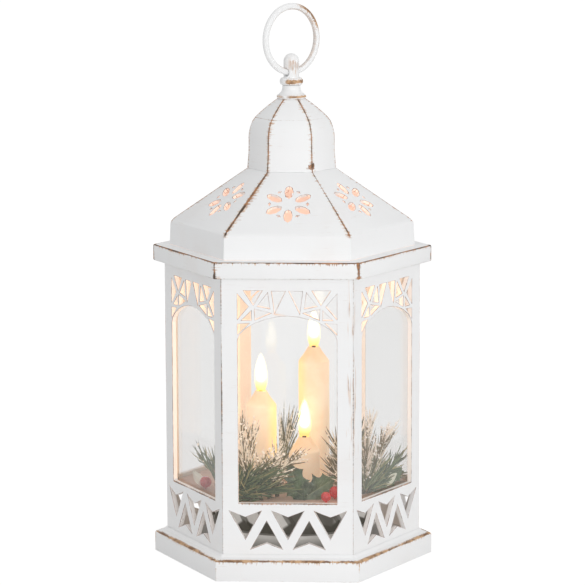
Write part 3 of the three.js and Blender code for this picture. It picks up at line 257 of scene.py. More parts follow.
def edge_wear(f, distance, width, grain, patches, seed=0.0, cover=0.0, length=2.4):
    """Wear within about width of an edge, in millimetres, with strokes length times as far. grain is the
    coordinates that draw the strokes out, patches how close the rubbed places follow each other, and a higher
    cover leaves less paint."""
    near = distance / width
    fine = f.noise(grain, 1.0, 2.0, 0.65, seed)
    place = f.noise(f.place, patches, 2.0, 0.55, seed + 3.0)
    core = ((place - 0.5) * 2.4 + (fine - 0.5) * 1.5 + 0.62 + cover - near * 0.75).step(0.0, 0.35)
    strokes = ((fine - 0.53) * 4.2 + (place - 0.5) * 1.6 + cover - near / length * 0.75 + 0.25).step(0.0, 0.5)
    return Wear(core, strokes)


def along_z(f):
    """Coordinates whose noise makes short streaks across an upright or sloping ridge."""
    return f.scaled(120, 120, 1300)


def along_rim(f):
    """Coordinates whose noise makes short upright streaks across a level edge."""
    return f.scaled(1100, 1100, 120)


def facing(f, outward, upward):
    """How far a face looks the way its piece's outside does: 1 on the outside, about 0 on a cut's edge."""
    level = f.node("ShaderNodeCombineXYZ", None, (f.x, f.y, 0.0))
    level = f.node("ShaderNodeVectorMath", {"operation": "NORMALIZE"}, (level,))
    lengths = ((outward, outward, 0.0), (0.0, 0.0, upward))
    aim = f.node("ShaderNodeVectorMath", {"operation": "MULTIPLY_ADD"}, (level, *lengths))
    normal = f.node("ShaderNodeTexCoord", output="Normal")
    return f.node("ShaderNodeVectorMath", {"operation": "DOT_PRODUCT"}, (normal, aim), output="Value")


def one_side(f, along_x, along_y, low, high):
    """Rises from 0 to 1 towards one side of a piece, from low to high millimetres off the axis."""
    return (f.x * along_x + f.y * along_y).step(low, high)


def paint(
    name, wear, outside=(), warmth=None, glow=0.0, tones=(UMBER, COPPER), outline=0.0, shine=CANDLELIGHT
):
    """The antique finish. wear(f) gives its Wear, outside the ways its painted faces look, and warmth(f) how
    far faces that look elsewhere get painted candlelight: a peach colour and a glow of their own, with glow
    as the strength of that painted light and shine as its colour. tones are the dark and the light of a worn
    core, and outline is how far the rounded rims of piercings are coloured brown."""
    f = Finish(name)
    brushed = f.streaks((30, 30, 900), 3.0, 0.6)
    cloud = f.noise(f.place, 22.0, 3.0, 0.55, 5.0)
    specks = f.noise(f.place, 420.0, 2.0, 0.7, 9.0)
    scratch = f.streaks((60, 60, 2200), 2.0, 0.7, 13.0)
    thin = cloud.step(0.52, 0.8) * 0.3 + brushed.step(0.56, 0.8) * 0.12
    colour = f.mix(thin, WHITE, THIN_WHITE)
    faint = scratch.step(0.66, 0.74) * cloud.step(0.45, 0.6) * 0.35
    colour = f.mix(faint, colour, SCRATCHED)
    worn = wear(f)
    tone = f.noise(f.place, 190.0, 3.0, 0.6, 2.0).step(0.4, 0.62)
    colour = f.mix(worn.strokes * 0.8, colour, f.mix(tone, TAN, COPPER))
    colour = f.mix(worn.core, colour, f.mix(tone, *tones))
    lit = BLACK
    if outside:
        seen = facing(f, *outside[0])
        for way in outside[1:]:
            seen = seen.most(facing(f, *way))
        inner = seen.step(0.72, 0.55)
        if warmth:
            inner = inner * warmth(f)
        # painted candlelight: faces that look away from the outside are coloured peach, partly the bare
        # plastic and partly the candles' light, and glow with shine, as far as warmth(f) says
        colour = f.mix(inner * 0.9, colour, f.mix(cloud.step(0.3, 0.8), CANDLELIT_LINING, CANDLELIT_PINK_LINING))
        lit = f.mix(inner, BLACK, shine)
    if outline:
        # the rounded rims of piercings are coloured brown in patches and given no glow
        rim = f.attribute("rim")
        rubbed = rim * (f.noise(f.place, 130.0, 3.0, 0.7, 4.0).step(0.36, 0.6) * 0.6 + 0.4) * outline
        colour = f.mix(rubbed, colour, f.mix(tone, linear(112, 88, 76), linear(176, 140, 122)))
        lit = f.mix(rim, lit, BLACK)
    height = brushed * 0.5 + specks * 0.25 - worn.core * 0.8 - worn.strokes * 0.3
    return f.surface(
        Base_Color=colour,
        Roughness=0.5 + 0.14 * brushed + 0.1 * worn.core,
        Normal=f.bump(height, 0.00014, 0.4),
        Specular_IOR_Level=0.35,
        Emission_Color=lit,
        Emission_Strength=glow,
    )


def panel_wear(f):
    six = SixSided(f)
    corner = edge_wear(f, six.from_ridge, 0.5, along_z(f), 16.0, 0.0, -0.1, 1.6) * six.radius.step(85.0, 86.3)
    middle = abs(f.z - 140.0).step(75.0, 40.0)
    # upright scuffs beside the front right corner
    scuff = edge_wear(f, six.from_ridge, 4.5, f.scaled(1100, 1100, 40), 30.0, 8.0, -0.12, 1.4).strokes
    scuff = scuff * six.radius.step(83.0, 84.5) * one_side(f, 0.5, -0.87, 70.0, 80.0) * middle
    # a rubbed line along the front edge of each sill, as wide as the window
    sill = edge_wear(f, abs(f.z - SILL_Z), 0.34, along_rim(f), 40.0, 5.0, 0.16, 2.6)
    sill = sill * six.off_middle.step(33.0, 32.4) * six.out.step(74.0, 74.6)
    return corner * (0.3 + 0.6 * middle) | sill * 0.85 | Wear(0.0, scuff * 0.8)


def cornice_wear(f):
    six = SixSided(f)
    outer = six.out.step(80.8, 81.6)
    tips = six.radius.step(91.5, 93.0)
    rim = edge_wear(f, abs(f.z - (CORNICE_TOP - 0.2)), 0.42, along_rim(f), 18.0, 1.0, 0.34, 3.4)
    foot = edge_wear(f, abs(f.z - CORNICE_FOOT), 0.3, along_rim(f), 24.0, 2.0, -0.45)
    corner = edge_wear(f, six.from_ridge, 1.1, along_z(f), 130.0, 6.0, 0.2, 3.0) * 0.85
    upright = edge_wear(f, six.from_ridge, 1.6, f.scaled(1500, 1500, 160), 130.0, 8.0, -0.05, 1.5)
    return (rim | foot) * outer | (corner | upright) * tips


def plinth_wear(f):
    six = SixSided(f)
    rim = edge_wear(f, abs(f.z - PLINTH_RIM), 0.62, f.scaled(1500, 1500, 160), 26.0, 2.0, 0.36, 2.8)
    high = f.z.step(4.0, 12.0) * 0.8 + 0.12
    corner = edge_wear(f, six.from_ridge, 0.6, along_z(f), 60.0, 3.0, -0.05, 2.6)
    corner = corner * six.radius.step(93.0, 94.5) * high
    foot = edge_wear(f, f.z, 0.3, along_rim(f), 24.0, 5.0, -0.4)
    return rim * six.out.step(79.5, 81.0) | corner | foot * six.out.step(81.4, 82.4)


def roof_wear(f):
    six = SixSided(f)
    grain = f.scaled(160, 160, 1900)
    # the ridge to the left of the front is the darkest
    left = one_side(f, -1.0, -1.0, 20.0, 50.0)
    ridge = edge_wear(f, six.from_ridge, 0.42, grain, 14.0, 1.0, 0.3, 4.0)
    dark = edge_wear(f, six.from_ridge, 0.62, grain, 30.0, 6.0, 0.5, 3.4) * left
    return (ridge | dark) * f.z.step(SKIRT_TOP - 2.5, SKIRT_TOP + 0.5)


def dome_wear(f):
    six = SixSided(f)
    ridge = edge_wear(f, six.from_ridge, 0.44, f.scaled(140, 140, 1700), 22.0, 2.0, 0.38, 3.6)
    ticks = edge_wear(f, six.from_ridge, 1.3, f.scaled(160, 160, 2300), 60.0, 7.0, -0.08, 2.8)
    crease = edge_wear(f, abs(f.z - DOME_CREASE), 0.22, along_rim(f), 20.0, 8.0, -0.3)
    # a bare spot where the front right ridge meets the roof
    spot = (0.0151, -0.0259, 0.2705)
    away = f.node("ShaderNodeVectorMath", {"operation": "DISTANCE"}, (f.place, spot), output="Value") / MM
    star = edge_wear(f, away, 2.6, f.scaled(500, 500, 500), 200.0, 4.0, 0.1, 1.3)
    return ridge | Wear(0.0, ticks.strokes) | crease | star


def base_wear(f):
    return edge_wear(f, abs(f.z), 0.2, along_rim(f), 30.0, 0.0, -0.35)


def finial_wear(f):
    right = one_side(f, 0.87, -0.5, 1.5, 5.0)
    left = one_side(f, -0.95, -0.3, 6.5, 9.0) * 0.5
    rim = edge_wear(f, abs(f.z - (DOME_TOP + 1.6)), 0.7, f.scaled(1500, 1500, 200), 120.0, 1.0, 0.2)
    return rim * right.most(left)


def eye_wear(f):
    bead_middle, bullet_middle = BEAD_FOOT + BEAD_HEIGHT / 2, BULLET_FOOT + BULLET_HEIGHT / 2
    belt = edge_wear(f, abs(f.z - bead_middle), 1.1, f.scaled(1500, 1500, 300), 90.0, 1.0, 0.2)
    stripe = edge_wear(f, abs(f.z - bullet_middle), 4.5, f.scaled(1500, 1500, 120), 120.0, 5.0, -0.1)
    return (belt | Wear(stripe.core * 0.3, stripe.strokes)) * one_side(f, 0.62, -0.78, 2.0, 4.4)


def ring_wear(f):
    outward = f.x * math.cos(RING_TURN) + f.y * math.sin(RING_TURN)
    rise = f.z - RING_Z
    reach = (rise * rise + outward * outward) ** 0.5
    turn = rise.math("ARCTAN2", outward)
    grain = f.node("ShaderNodeCombineXYZ", None, (turn * 44.0, reach * 0.5, 0.0))
    inside, outside = abs(reach - (RING_REACH - 2.0)), abs(reach - (RING_REACH + 1.4))
    # the stretches of the ring that are worn, by their turn in radians
    upper = turn.step(0.05, 0.4) * turn.step(1.5, 1.05)
    upper_left = turn.step(1.3, 1.7) * turn.step(3.0, 2.6)
    low = turn.step(-0.9, -0.5) * turn.step(0.3, 0.0)
    ticks = edge_wear(f, inside, 0.5, grain, 60.0, 2.0, 0.1, 2.2) * (0.35 + 0.5 * upper_left)
    rubbed = edge_wear(f, outside, 1.7, grain, 90.0, 6.0, 0.34, 3.0) * upper
    faint = edge_wear(f, outside, 0.6, grain, 70.0, 9.0, -0.1, 2.0) * low
    return ticks * 0.85 | rubbed | faint


# Other finishes


def pane_glass():
    """Thin glass that mirrors on the faces turned to the eye, with a grey haze that is painted thinner on the
    front and back panes, as painted light that brightens what shows through them.
    """
    f = Finish("clear_pane")
    gloss = f.node("ShaderNodeBsdfAnisotropic", None, {"Color": (1, 1, 1, 1), "Roughness": 0.015})
    # painted light: the haze is thinner on the front and back panes so what shows through them is brighter
    level = abs(f.y).step(66.0, 70.0)
    body = f.node(
        "ShaderNodeBsdfPrincipled",
        None,
        {"Base Color": linear(112, 113, 104), "Roughness": 0.1, "Alpha": 0.093 - 0.036 * level},
    )
    mirror = f.node("ShaderNodeFresnel", None, {"IOR": 1.55})
    behind = f.node("ShaderNodeNewGeometry", output="Backfacing")
    return f.end(f.node("ShaderNodeMixShader", None, (mirror * (1 - behind), body, gloss)))


def wax(name, centre, top, depth, light, side):
    """Candle sleeve: warm ivory with the flame's light painted on as a glow from height top, fading over
    depth, both in millimetres. side is -1 or 1 where one flank is painted yellow as lit by the neighbouring
    flame."""
    f = Finish(name)
    mottle = f.noise(f.place, 90.0, 4.0, 0.6)
    streak = f.streaks((260, 260, 40), 2.0, 0.5, 3.0)
    colour = f.mix(mottle.step(0.3, 0.75), linear(252, 236, 214), linear(246, 222, 194))
    below = f.z - top
    # painted light: the flame's glow through the wax, fading downwards
    glow = below.step(-depth, 0.0)
    lit = f.mix(glow * 0.75 + mottle * 0.25, linear(216, 180, 148), linear(255, 214, 166))
    if side:
        # painted light: the flank toward the neighbouring flame is painted yellow, in colour and glow
        flank = ((f.x - centre) * side).step(3.2, 9.4)
        lit = f.mix(flank, lit, linear(255, 220, 132))
        colour = f.mix(flank * 0.4, colour, linear(255, 236, 170))
    # painted light: an orange glow just under the top
    lit = f.mix(below.step(-12.0, -3.0) * 0.9, lit, linear(238, 172, 98))
    return f.surface(
        Base_Color=colour,
        Roughness=0.38 + 0.12 * mottle,
        Normal=f.bump(mottle * 0.6 + streak * 0.5, 0.0003, 0.35),
        Emission_Color=lit,
        Emission_Strength=light,
    )


def flame_light(name, foot):
    """Clear amber lens of a flame, brighter at the foot, thin toward the tip."""
    f = Finish(name)
    share = (f.z - foot) / FLAME_HEIGHT
    colour = f.mix(share.step(0.06, 0.34), linear(214, 158, 36), linear(255, 240, 158))
    colour = f.mix(share.step(0.55, 1.0), colour, linear(255, 246, 208))
    return f.surface(
        Base_Color=linear(255, 244, 206),
        Roughness=0.2,
        Normal=f.bump(f.noise(f.place, 300.0, 2.0, 0.5), 0.0002, 0.2),
        Emission_Color=colour,
        Emission_Strength=1.15,
        Alpha=0.95 - 0.5 * share.step(0.1, 0.4) - 0.15 * share.step(0.6, 1.0),
    )


def flame_core(name, foot):
    """The white heart of a flame, yellow at its foot and fading at its tip."""
    f = Finish(name)
    share = (f.z - foot) / FLAME_HEIGHT
    haze = f.noise(f.place, 300.0, 2.0, 0.5)
    white = f.mix(haze, linear(255, 252, 240), linear(255, 248, 226))
    return f.surface(
        Base_Color=linear(255, 250, 236),
        Roughness=0.4,
        Normal=f.bump(haze, 0.0002, 0.2),
        Emission_Color=f.mix(share.step(0.16, 0.34), linear(255, 216, 90), white),
        Emission_Strength=3.2,
        Alpha=1 - 0.8 * share.step(0.6, 0.86),
    )


def wick_finish():
    """Charred wick. The middle candle's is painted over with the yellow light of its flame, in colour and
    glow.
    """
    f = Finish("charred_wick")
    fibre = f.streaks((2600, 2600, 900), 2.0, 0.6)
    colour = f.mix(fibre, linear(52, 36, 24), linear(96, 66, 40))
    # painted light: the middle candle's wick is painted yellow and glows with its flame's light
    flame_lit = f.x.step(-4.0, -12.0)
    return f.surface(
        Base_Color=f.mix(flame_lit, colour, linear(240, 200, 110)),
        Roughness=0.8,
        Normal=f.bump(fibre, 0.0002, 0.6),
        Emission_Color=f.mix(flame_lit, BLACK, linear(250, 206, 84)),
        Emission_Strength=0.6,
    )


def glowing_led():
    f = Finish("led_lens")
    haze = f.noise(f.place, 500.0, 2.0, 0.5)
    colour = f.mix(haze, linear(255, 236, 180), linear(255, 214, 130))
    return f.surface(Base_Color=colour, Roughness=0.1, Emission_Color=colour, Emission_Strength=4.0)


def moulded(name, base, dark, grain=900.0, rough=0.45):
    """Fine-grained moulded plastic."""
    f = Finish(name)
    fine = f.noise(f.place, grain, 3.0, 0.6)
    cloud = f.noise(f.place, 30.0, 3.0, 0.5, 4.0)
    return f.surface(
        Base_Color=f.mix((cloud * 0.7 + fine * 0.3).step(0.35, 0.7), base, dark),
        Roughness=rough + 0.15 * fine,
        Normal=f.bump(fine, 0.00012, 0.4),
        Specular_IOR_Level=0.4,
    )


def housing_finish():
    """Grey plastic that shows behind the lower fretwork, with light and shade painted on it: pale lit fields
    between painted shade along the leaning ribs, a band of painted shade over the flange, a flange painted
    paler towards its top, painted shade over the front right, and a painted glow for the light that reaches
    it through the base."""
    f = Finish("housing_grey")
    fine = f.noise(f.place, 700.0, 3.0, 0.6)
    cloud = f.noise(f.place, 60.0, 3.0, 0.6, 4.0)
    rib_pitch, rib_lean, drum_radius = math.pi / 10, math.radians(32), 54
    around = (f.y.math("ARCTAN2", f.x) + math.pi / 2) / rib_pitch
    leaned = around + (f.z - 34.8) * (math.tan(rib_lean) / drum_radius / rib_pitch)
    beside = abs((leaned + 0.5).math("FRACT") - 0.5)
    # painted shade along the leaning ribs
    rib_shade = beside.step(0.2, 0.14)
    # pale lit fields above a band of painted shade over the flange
    lit_field = (f.z + beside * 8.0).step(32.0, 34.0)
    # painted shade over the front right
    right = (f.x + (f.z - 38.0) * 0.62 + 2.0).step(-0.6, 0.6) * f.x.step(34.0, 28.0)
    # painted light on the flange, paler towards its top
    lit_ledge = f.z.step(25.2, 24.6) * (0.45 + 0.55 * f.z.step(16.0, 23.0))
    pale = (lit_field * (1 - rib_shade * 0.75) * (1 - right * 0.92)).most(lit_ledge * 0.85)
    tone = (pale * (0.75 + 0.4 * cloud)).least(1.0)
    return f.surface(
        Base_Color=f.mix(tone, linear(84, 82, 76), linear(206, 205, 202)),
        Roughness=0.45 + 0.15 * fine,
        Normal=f.bump(fine, 0.00012, 0.4),
        # a painted glow of its own, standing in for the light that reaches it through the base
        Emission_Color=f.mix(tone, linear(70, 68, 60), linear(196, 194, 190)),
        Emission_Strength=0.42,
    )


def deck_finish():
    """Peach plastic with long scuffs and a faint painted glow. The strip behind the front sill is painted
    paler and glows more, as lit by the candles.
    """
    f = Finish("peach_deck")
    fine = f.noise(f.place, 500.0, 3.0, 0.6)
    cloud = f.noise(f.place, 35.0, 4.0, 0.6, 2.0)
    scuff = f.streaks((30, 500, 30), 3.0, 0.6, 7.0).step(0.5, 0.75)
    colour = f.mix(cloud.step(0.3, 0.75), linear(196, 168, 152), linear(168, 138, 122))
    colour = f.mix(scuff * 0.4, colour, linear(228, 208, 196))
    # painted light: the strip behind the front sill is painted paler and glows more; the rest glows faintly
    front = f.y.step(-52.0, -64.0)
    return f.surface(
        Base_Color=f.mix(front * 0.7, colour, linear(240, 214, 200)),
        Roughness=0.5 + 0.2 * fine,
        Normal=f.bump(fine, 0.00015, 0.4),
        Emission_Color=f.mix(front, linear(70, 52, 40), linear(150, 124, 108)),
        Emission_Strength=0.3,
    )


def metal(name, base, brush=(60, 60, 1800), rough=0.3):
    """Brushed metal. brush is the scale of its lines along each axis."""
    f = Finish(name)
    line = f.streaks(brush, 3.0, 0.6)
    spot = f.noise(f.place, 300.0, 3.0, 0.6, 2.0)
    colour = f.mix(spot.step(0.45, 0.75), base, linear(140, 136, 130))
    normal = f.bump(line, 0.00006, 0.5)
    return f.surface(Base_Color=colour, Metallic=1.0, Roughness=rough + 0.2 * line, Normal=normal)


def board_finish():
    """Green board with its tracks, and dark parts standing on it."""
    f = Finish("solder_mask")
    tracks = f.streaks((260, 90, 20), 1.0, 0.3).step(0.48, 0.52)
    colour = f.mix(tracks, linear(34, 84, 52), linear(58, 116, 70))
    colour = f.mix(f.z.step(25.6, 26.0), colour, linear(34, 34, 36))
    return f.surface(Base_Color=colour, Roughness=0.35 + 0.1 * tracks, Normal=f.bump(tracks, 0.0001, 0.5))


def cell_finish():
    """Dark cell sleeve with a tan band and bare ends."""
    f = Finish("cell_sleeve")
    ends = abs(f.x).step(23.6, 23.9)
    band = abs(f.x - 14.0).step(8.5, 8.2)
    colour = f.mix(band, linear(52, 56, 62), linear(150, 118, 70))
    colour = f.mix(ends, colour, linear(190, 190, 186))
    fine = f.noise(f.place, 600.0, 2.0, 0.5)
    return f.surface(Base_Color=colour, Metallic=0.2 + 0.8 * ends, Roughness=0.3 + 0.1 * fine)


def away_from_candles(f):
    """How far a piece of the trim stands at the right, away from the candles, where its painted candlelight
    is greyer.
    """
    return f.x.step(32.0, 46.0)


def needle_finish():
    """Evergreen needles: dark green feet, frosted towards the tips on some, with a painted glow of
    candlelight that is greyer at the right.
    """
    f = Finish("pine_needles")
    tip, tone, frost = f.attribute("tip"), f.attribute("tone"), f.attribute("frost")
    side = away_from_candles(f)
    green = f.mix(tone.step(0.0, 0.7), linear(54, 70, 52), linear(116, 130, 92))
    green = f.mix(tone.step(0.78, 0.82), green, linear(178, 166, 120))
    green = f.mix(frost.step(0.2, 0.6) * 0.8, green, linear(128, 106, 74))
    green = f.mix(tip.step(0.8, 1.0) * 0.6, green, linear(92, 72, 48))
    patches = f.noise(f.place, 420.0, 2.0, 0.6)
    crust = (patches * 0.9 + (tone - 0.5).math("SIGN") * 0.22 + frost - 1.02).step(0.0, 0.16)
    crust = crust * tip.step(0.04, 0.2)
    # painted candlelight: a glow of their own, cream on the crust, greyer at the right and on frosted needles
    green_light = f.mix(side * (1.0 - frost), linear(54, 62, 44), linear(100, 108, 84))
    green_light = f.mix(frost, green_light, linear(122, 104, 74))
    crust_light = f.mix(side, linear(250, 230, 204), linear(216, 204, 198))
    return f.surface(
        Base_Color=f.mix(crust, green, f.mix(tone, linear(244, 237, 222), linear(232, 214, 194))),
        Roughness=0.6 + 0.2 * crust,
        Specular_IOR_Level=0.3,
        Normal=f.bump(patches, 0.0003, 0.5),
        Emission_Color=f.mix(crust, green_light, crust_light),
        Emission_Strength=0.26,
    )


def frost_finish():
    """Grainy frost with painted candlelight: a warm tint and a glow of its own, both greyer at the right."""
    f = Finish("frost_clumps")
    grain = f.noise(f.place, 1400.0, 3.0, 0.7)
    warm = f.noise(f.place, 60.0, 2.0, 0.5, 3.0)
    side = away_from_candles(f)
    # painted candlelight: a peach tint in patches and a glow of its own, both greyer at the right
    lit = f.mix(warm, linear(255, 240, 222), linear(250, 222, 198))
    return f.surface(
        Base_Color=f.mix(warm * (1.0 - side), linear(246, 242, 236), linear(244, 226, 204)),
        Roughness=0.85,
        Normal=f.bump(grain, 0.0003, 0.8),
        Specular_IOR_Level=0.3,
        Emission_Color=f.mix(side, lit, linear(204, 192, 188)),
        Emission_Strength=0.4,
    )


def stem_finish():
    f = Finish("wrapped_stem")
    band = f.streaks((300, 300, 1400), 2.0, 0.6)
    colour = f.mix(band.step(0.4, 0.6), linear(66, 58, 40), linear(98, 88, 60))
    return f.surface(Base_Color=colour, Roughness=0.7, Normal=f.bump(band, 0.0003, 0.6))


def leaf_finish(name, deep, pale, edge, shine):
    """A leaf with a pale midrib, side veins and a dusted edge, from its own leaf coordinates. Leaves right of
    the middle stand in the open and are painted paler as lit, and glow with painted light along with the pale
    patches."""
    f = Finish(name)
    deep, pale, edge, shine = (linear(*colour) for colour in (deep, pale, edge, shine))
    along, across = f.attribute("along"), abs(f.attribute("across"))
    rib = across.step(0.07, 0.02)
    beside_vein = abs((along * 9.0 - across * 3.2).math("FRACT") - 0.5)
    veins = beside_vein.step(0.07, 0.02) * across.step(0.95, 0.6)
    dust = f.noise(f.place, 380.0, 3.0, 0.7).step(0.5, 0.66)
    cloud = f.noise(f.place, 120.0, 3.0, 0.6, 3.0).step(0.35, 0.7)
    # painted light: leaves in the open are painted paler, and they and the pale patches glow with shine
    lit_open_side = f.x.step(14.0, 25.0)
    colour = f.mix(cloud, deep, pale)
    colour = f.mix(lit_open_side * 0.8, colour, pale)
    colour = f.mix((rib * 0.55 + veins * 0.4).least(1.0), colour, edge)
    frosted = across.step(0.82, 0.98) * dust
    colour = f.mix((frosted * 0.7 + dust * 0.12).least(1.0), colour, linear(226, 224, 206))
    return f.surface(
        Base_Color=colour,
        Roughness=0.34 + 0.2 * dust,
        Normal=f.bump(1.0 - rib - 0.5 * veins, 0.0004, 0.6),
        Specular_IOR_Level=0.5,
        Emission_Color=f.mix(cloud.most(lit_open_side), BLACK, shine),
        Emission_Strength=0.3,
    )


def berry_finish():
    """Waxed red with pale specks, with painted shade darkening the left berry and a faint painted glow."""
    f = Finish("waxed_berry")
    skin = f.noise(f.place, 260.0, 4.0, 0.65)
    bloom = f.noise(f.place, 120.0, 3.0, 0.6, 6.0).step(0.55, 0.75)
    specks = f.noise(f.place, 1500.0, 2.0, 0.5, 2.0).step(0.64, 0.7)
    # painted shade: the left berry is painted darker
    shaded = f.x.step(0.0, -30.0)
    colour = f.mix(skin.step(0.35, 0.7), linear(226, 44, 46), linear(176, 28, 36))
    colour = f.mix(shaded * 0.7, colour, linear(172, 18, 28))
    colour = f.mix(bloom * 0.25, colour, linear(240, 168, 156))
    # painted light: a faint glow, paler on the bloom and darker on the shaded left berry
    lit = f.mix(bloom, linear(226, 60, 54), linear(240, 120, 110))
    return f.surface(
        Base_Color=f.mix(specks * 0.6, colour, linear(246, 226, 220)),
        Roughness=0.22 + 0.3 * bloom,
        Normal=f.bump(skin, 0.0002, 0.4),
        Coat_Weight=0.4,
        Emission_Color=f.mix(shaded, lit, linear(150, 22, 26)),
        Emission_Strength=0.16,
    )


# Mesh making


def placed(name, data):
    """A new object in the scene."""
    made = bpy.data.objects.new(name, data)
    bpy.context.scene.collection.objects.link(made)
    return made


def mesh_of(name, shape):
    """A mesh from vertices in millimetres and faces."""
    vertices, faces = shape
    mesh = bpy.data.meshes.new(name)
    mesh.from_pydata([tuple(c * MM for c in v) for v in vertices], [], faces)
    return mesh


def new_piece(name, shape, finish, replaces=(), body=BODY, crease=35):
    """A piece from vertices in millimetres and faces."""
    return as_piece(name, mesh_of(name, shape), finish, replaces, body, crease)


def is_folded(face):
    """Whether a face lies back to back with all its neighbours."""
    others = [other for edge in face.edges for other in edge.link_faces if other != face]
    return len(others) > 1 and max(other.normal.dot(face.normal) for other in others) < -0.95


def as_piece(name, mesh, finish, replaces=(), body=BODY, crease=35):
    """A mesh as a piece that rides on a body, smooth but for edges sharper than crease, in degrees."""
    work = bmesh.new()
    work.from_mesh(mesh)
    bmesh.ops.recalc_face_normals(work, faces=work.faces)
    # a bevel at an acute corner can fold one sliver back over its neighbours
    folded = [face for face in work.faces if is_folded(face)]
    bmesh.ops.delete(work, geom=folded, context="FACES_ONLY")
    work.to_mesh(mesh)
    work.free()
    # the CAD mesh's own normals no longer fit its rounded edges
    if "custom_normal" in mesh.attributes:
        mesh.attributes.remove(mesh.attributes["custom_normal"])
    mesh.shade_smooth()
    mesh.set_sharp_from_angle(angle=math.radians(crease))
    if finish:
        mesh.materials.clear()
        mesh.materials.append(finish)
    piece = placed(name, mesh)
    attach(piece, body)
    if replaces:
        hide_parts(*replaces)
    return piece


def turned(profile, steps=96, centre=(0.0, 0.0)):
    """A profile of (radius, height) turned about an upright axis. Its ends lie on the axis, or it closes on
    itself off the axis."""
    vertices, rings = [], []
    for radius, height in profile:
        if radius < 1e-6:
            rings.append([len(vertices)] * steps)
            vertices.append((centre[0], centre[1], height))
            continue
        rings.append(list(range(len(vertices), len(vertices) + steps)))
        for i in range(steps):
            a = 2 * math.pi * i / steps
            vertices.append((centre[0] + radius * math.cos(a), centre[1] + radius * math.sin(a), height))
    if profile[0] == profile[-1]:
        rings[-1] = rings[0]
        vertices = vertices[:-steps]
    faces = []
    for low, high in zip(rings, rings[1:]):
        for i in range(steps):
            j = (i + 1) % steps
            corners = list(dict.fromkeys((low[i], low[j], high[j], high[i])))
            if len(corners) > 2:
                faces.append(corners)
    return vertices, faces


def smooth_profile(points, per_span=6):
    """A Catmull-Rom curve through points, such as (radius, height) or (x, y, z)."""
    p = [np.array(q, float) for q in points]
    p = [2 * p[0] - p[1], *p, 2 * p[-1] - p[-2]]
    made = []
    for a, b, c, d in zip(p, p[1:], p[2:], p[3:]):
        for k in range(per_span):
            t = k / per_span
            square, cube = 2 * a - 5 * b + 4 * c - d, 3 * b - a - 3 * c + d
            made.append(tuple(float(v) for v in 0.5 * (2 * b + (c - a) * t + square * t * t + cube * t**3)))
    made.append(tuple(float(v) for v in p[-2]))
    return made


def drop_profile(points, per_span):
    """A smooth profile that ends on the axis and never passes it."""
    return [(max(radius, 0.0), height) for radius, height in smooth_profile(points, per_span)]


def evaluated_mesh(obj):
    """The object's mesh with its modifiers, as a plain mesh, and the object removed."""
    graph = bpy.context.evaluated_depsgraph_get()
    mesh = bpy.data.meshes.new_from_object(
        obj.evaluated_get(graph), preserve_all_data_layers=True, depsgraph=graph
    )
    bpy.data.objects.remove(obj)
    return mesh


def rounding(obj, width, segments, angle):
    """A bevel of width millimetres on the edges sharper than angle, in degrees."""
    bevel = obj.modifiers.new("rounded edges", "BEVEL")
    bevel.width, bevel.segments = width * MM, segments
    bevel.limit_method, bevel.angle_limit = "ANGLE", math.radians(angle)
    return bevel


def softened(node, finish, width=0.35, segments=2, body=BODY, pierced=None):
    """A CAD node with its edges rounded by width. pierced(x, y, z) says, in millimetres, where a rounded edge
    is the rim of a piercing; such a piece keeps its full width everywhere."""
    mesh = frame["nodes"][node].data.copy()
    work = bmesh.new()
    work.from_mesh(mesh)
    bmesh.ops.remove_doubles(work, verts=work.verts, dist=2e-6)
    bmesh.ops.dissolve_limit(work, angle_limit=math.radians(0.6), verts=work.verts, edges=work.edges)
    if pierced:
        bmesh.ops.triangulate(work, faces=work.faces, quad_method="BEAUTY", ngon_method="BEAUTY")
    work.to_mesh(mesh)
    work.free()
    shaped = placed(node + "_work", mesh)
    bevel = rounding(shaped, width, segments, 24)
    bevel.use_clamp_overlap = bevel.loop_slide = not pierced
    if pierced:
        mesh.materials.clear()
        mesh.materials.append(finish)
        mesh.materials.append(finish)
        bevel.material = 1
    made = evaluated_mesh(shaped)
    if pierced:
        rim = made.attributes.new("rim", "FLOAT", "FACE")
        for face in made.polygons:
            if face.material_index and pierced(*(face.center / MM)):
                rim.data[face.index].value = 1.0
            face.material_index = 0
    return as_piece(node + "_painted", made, finish, (node,), body, 20 if pierced else 30)


# Geometry Nodes trees


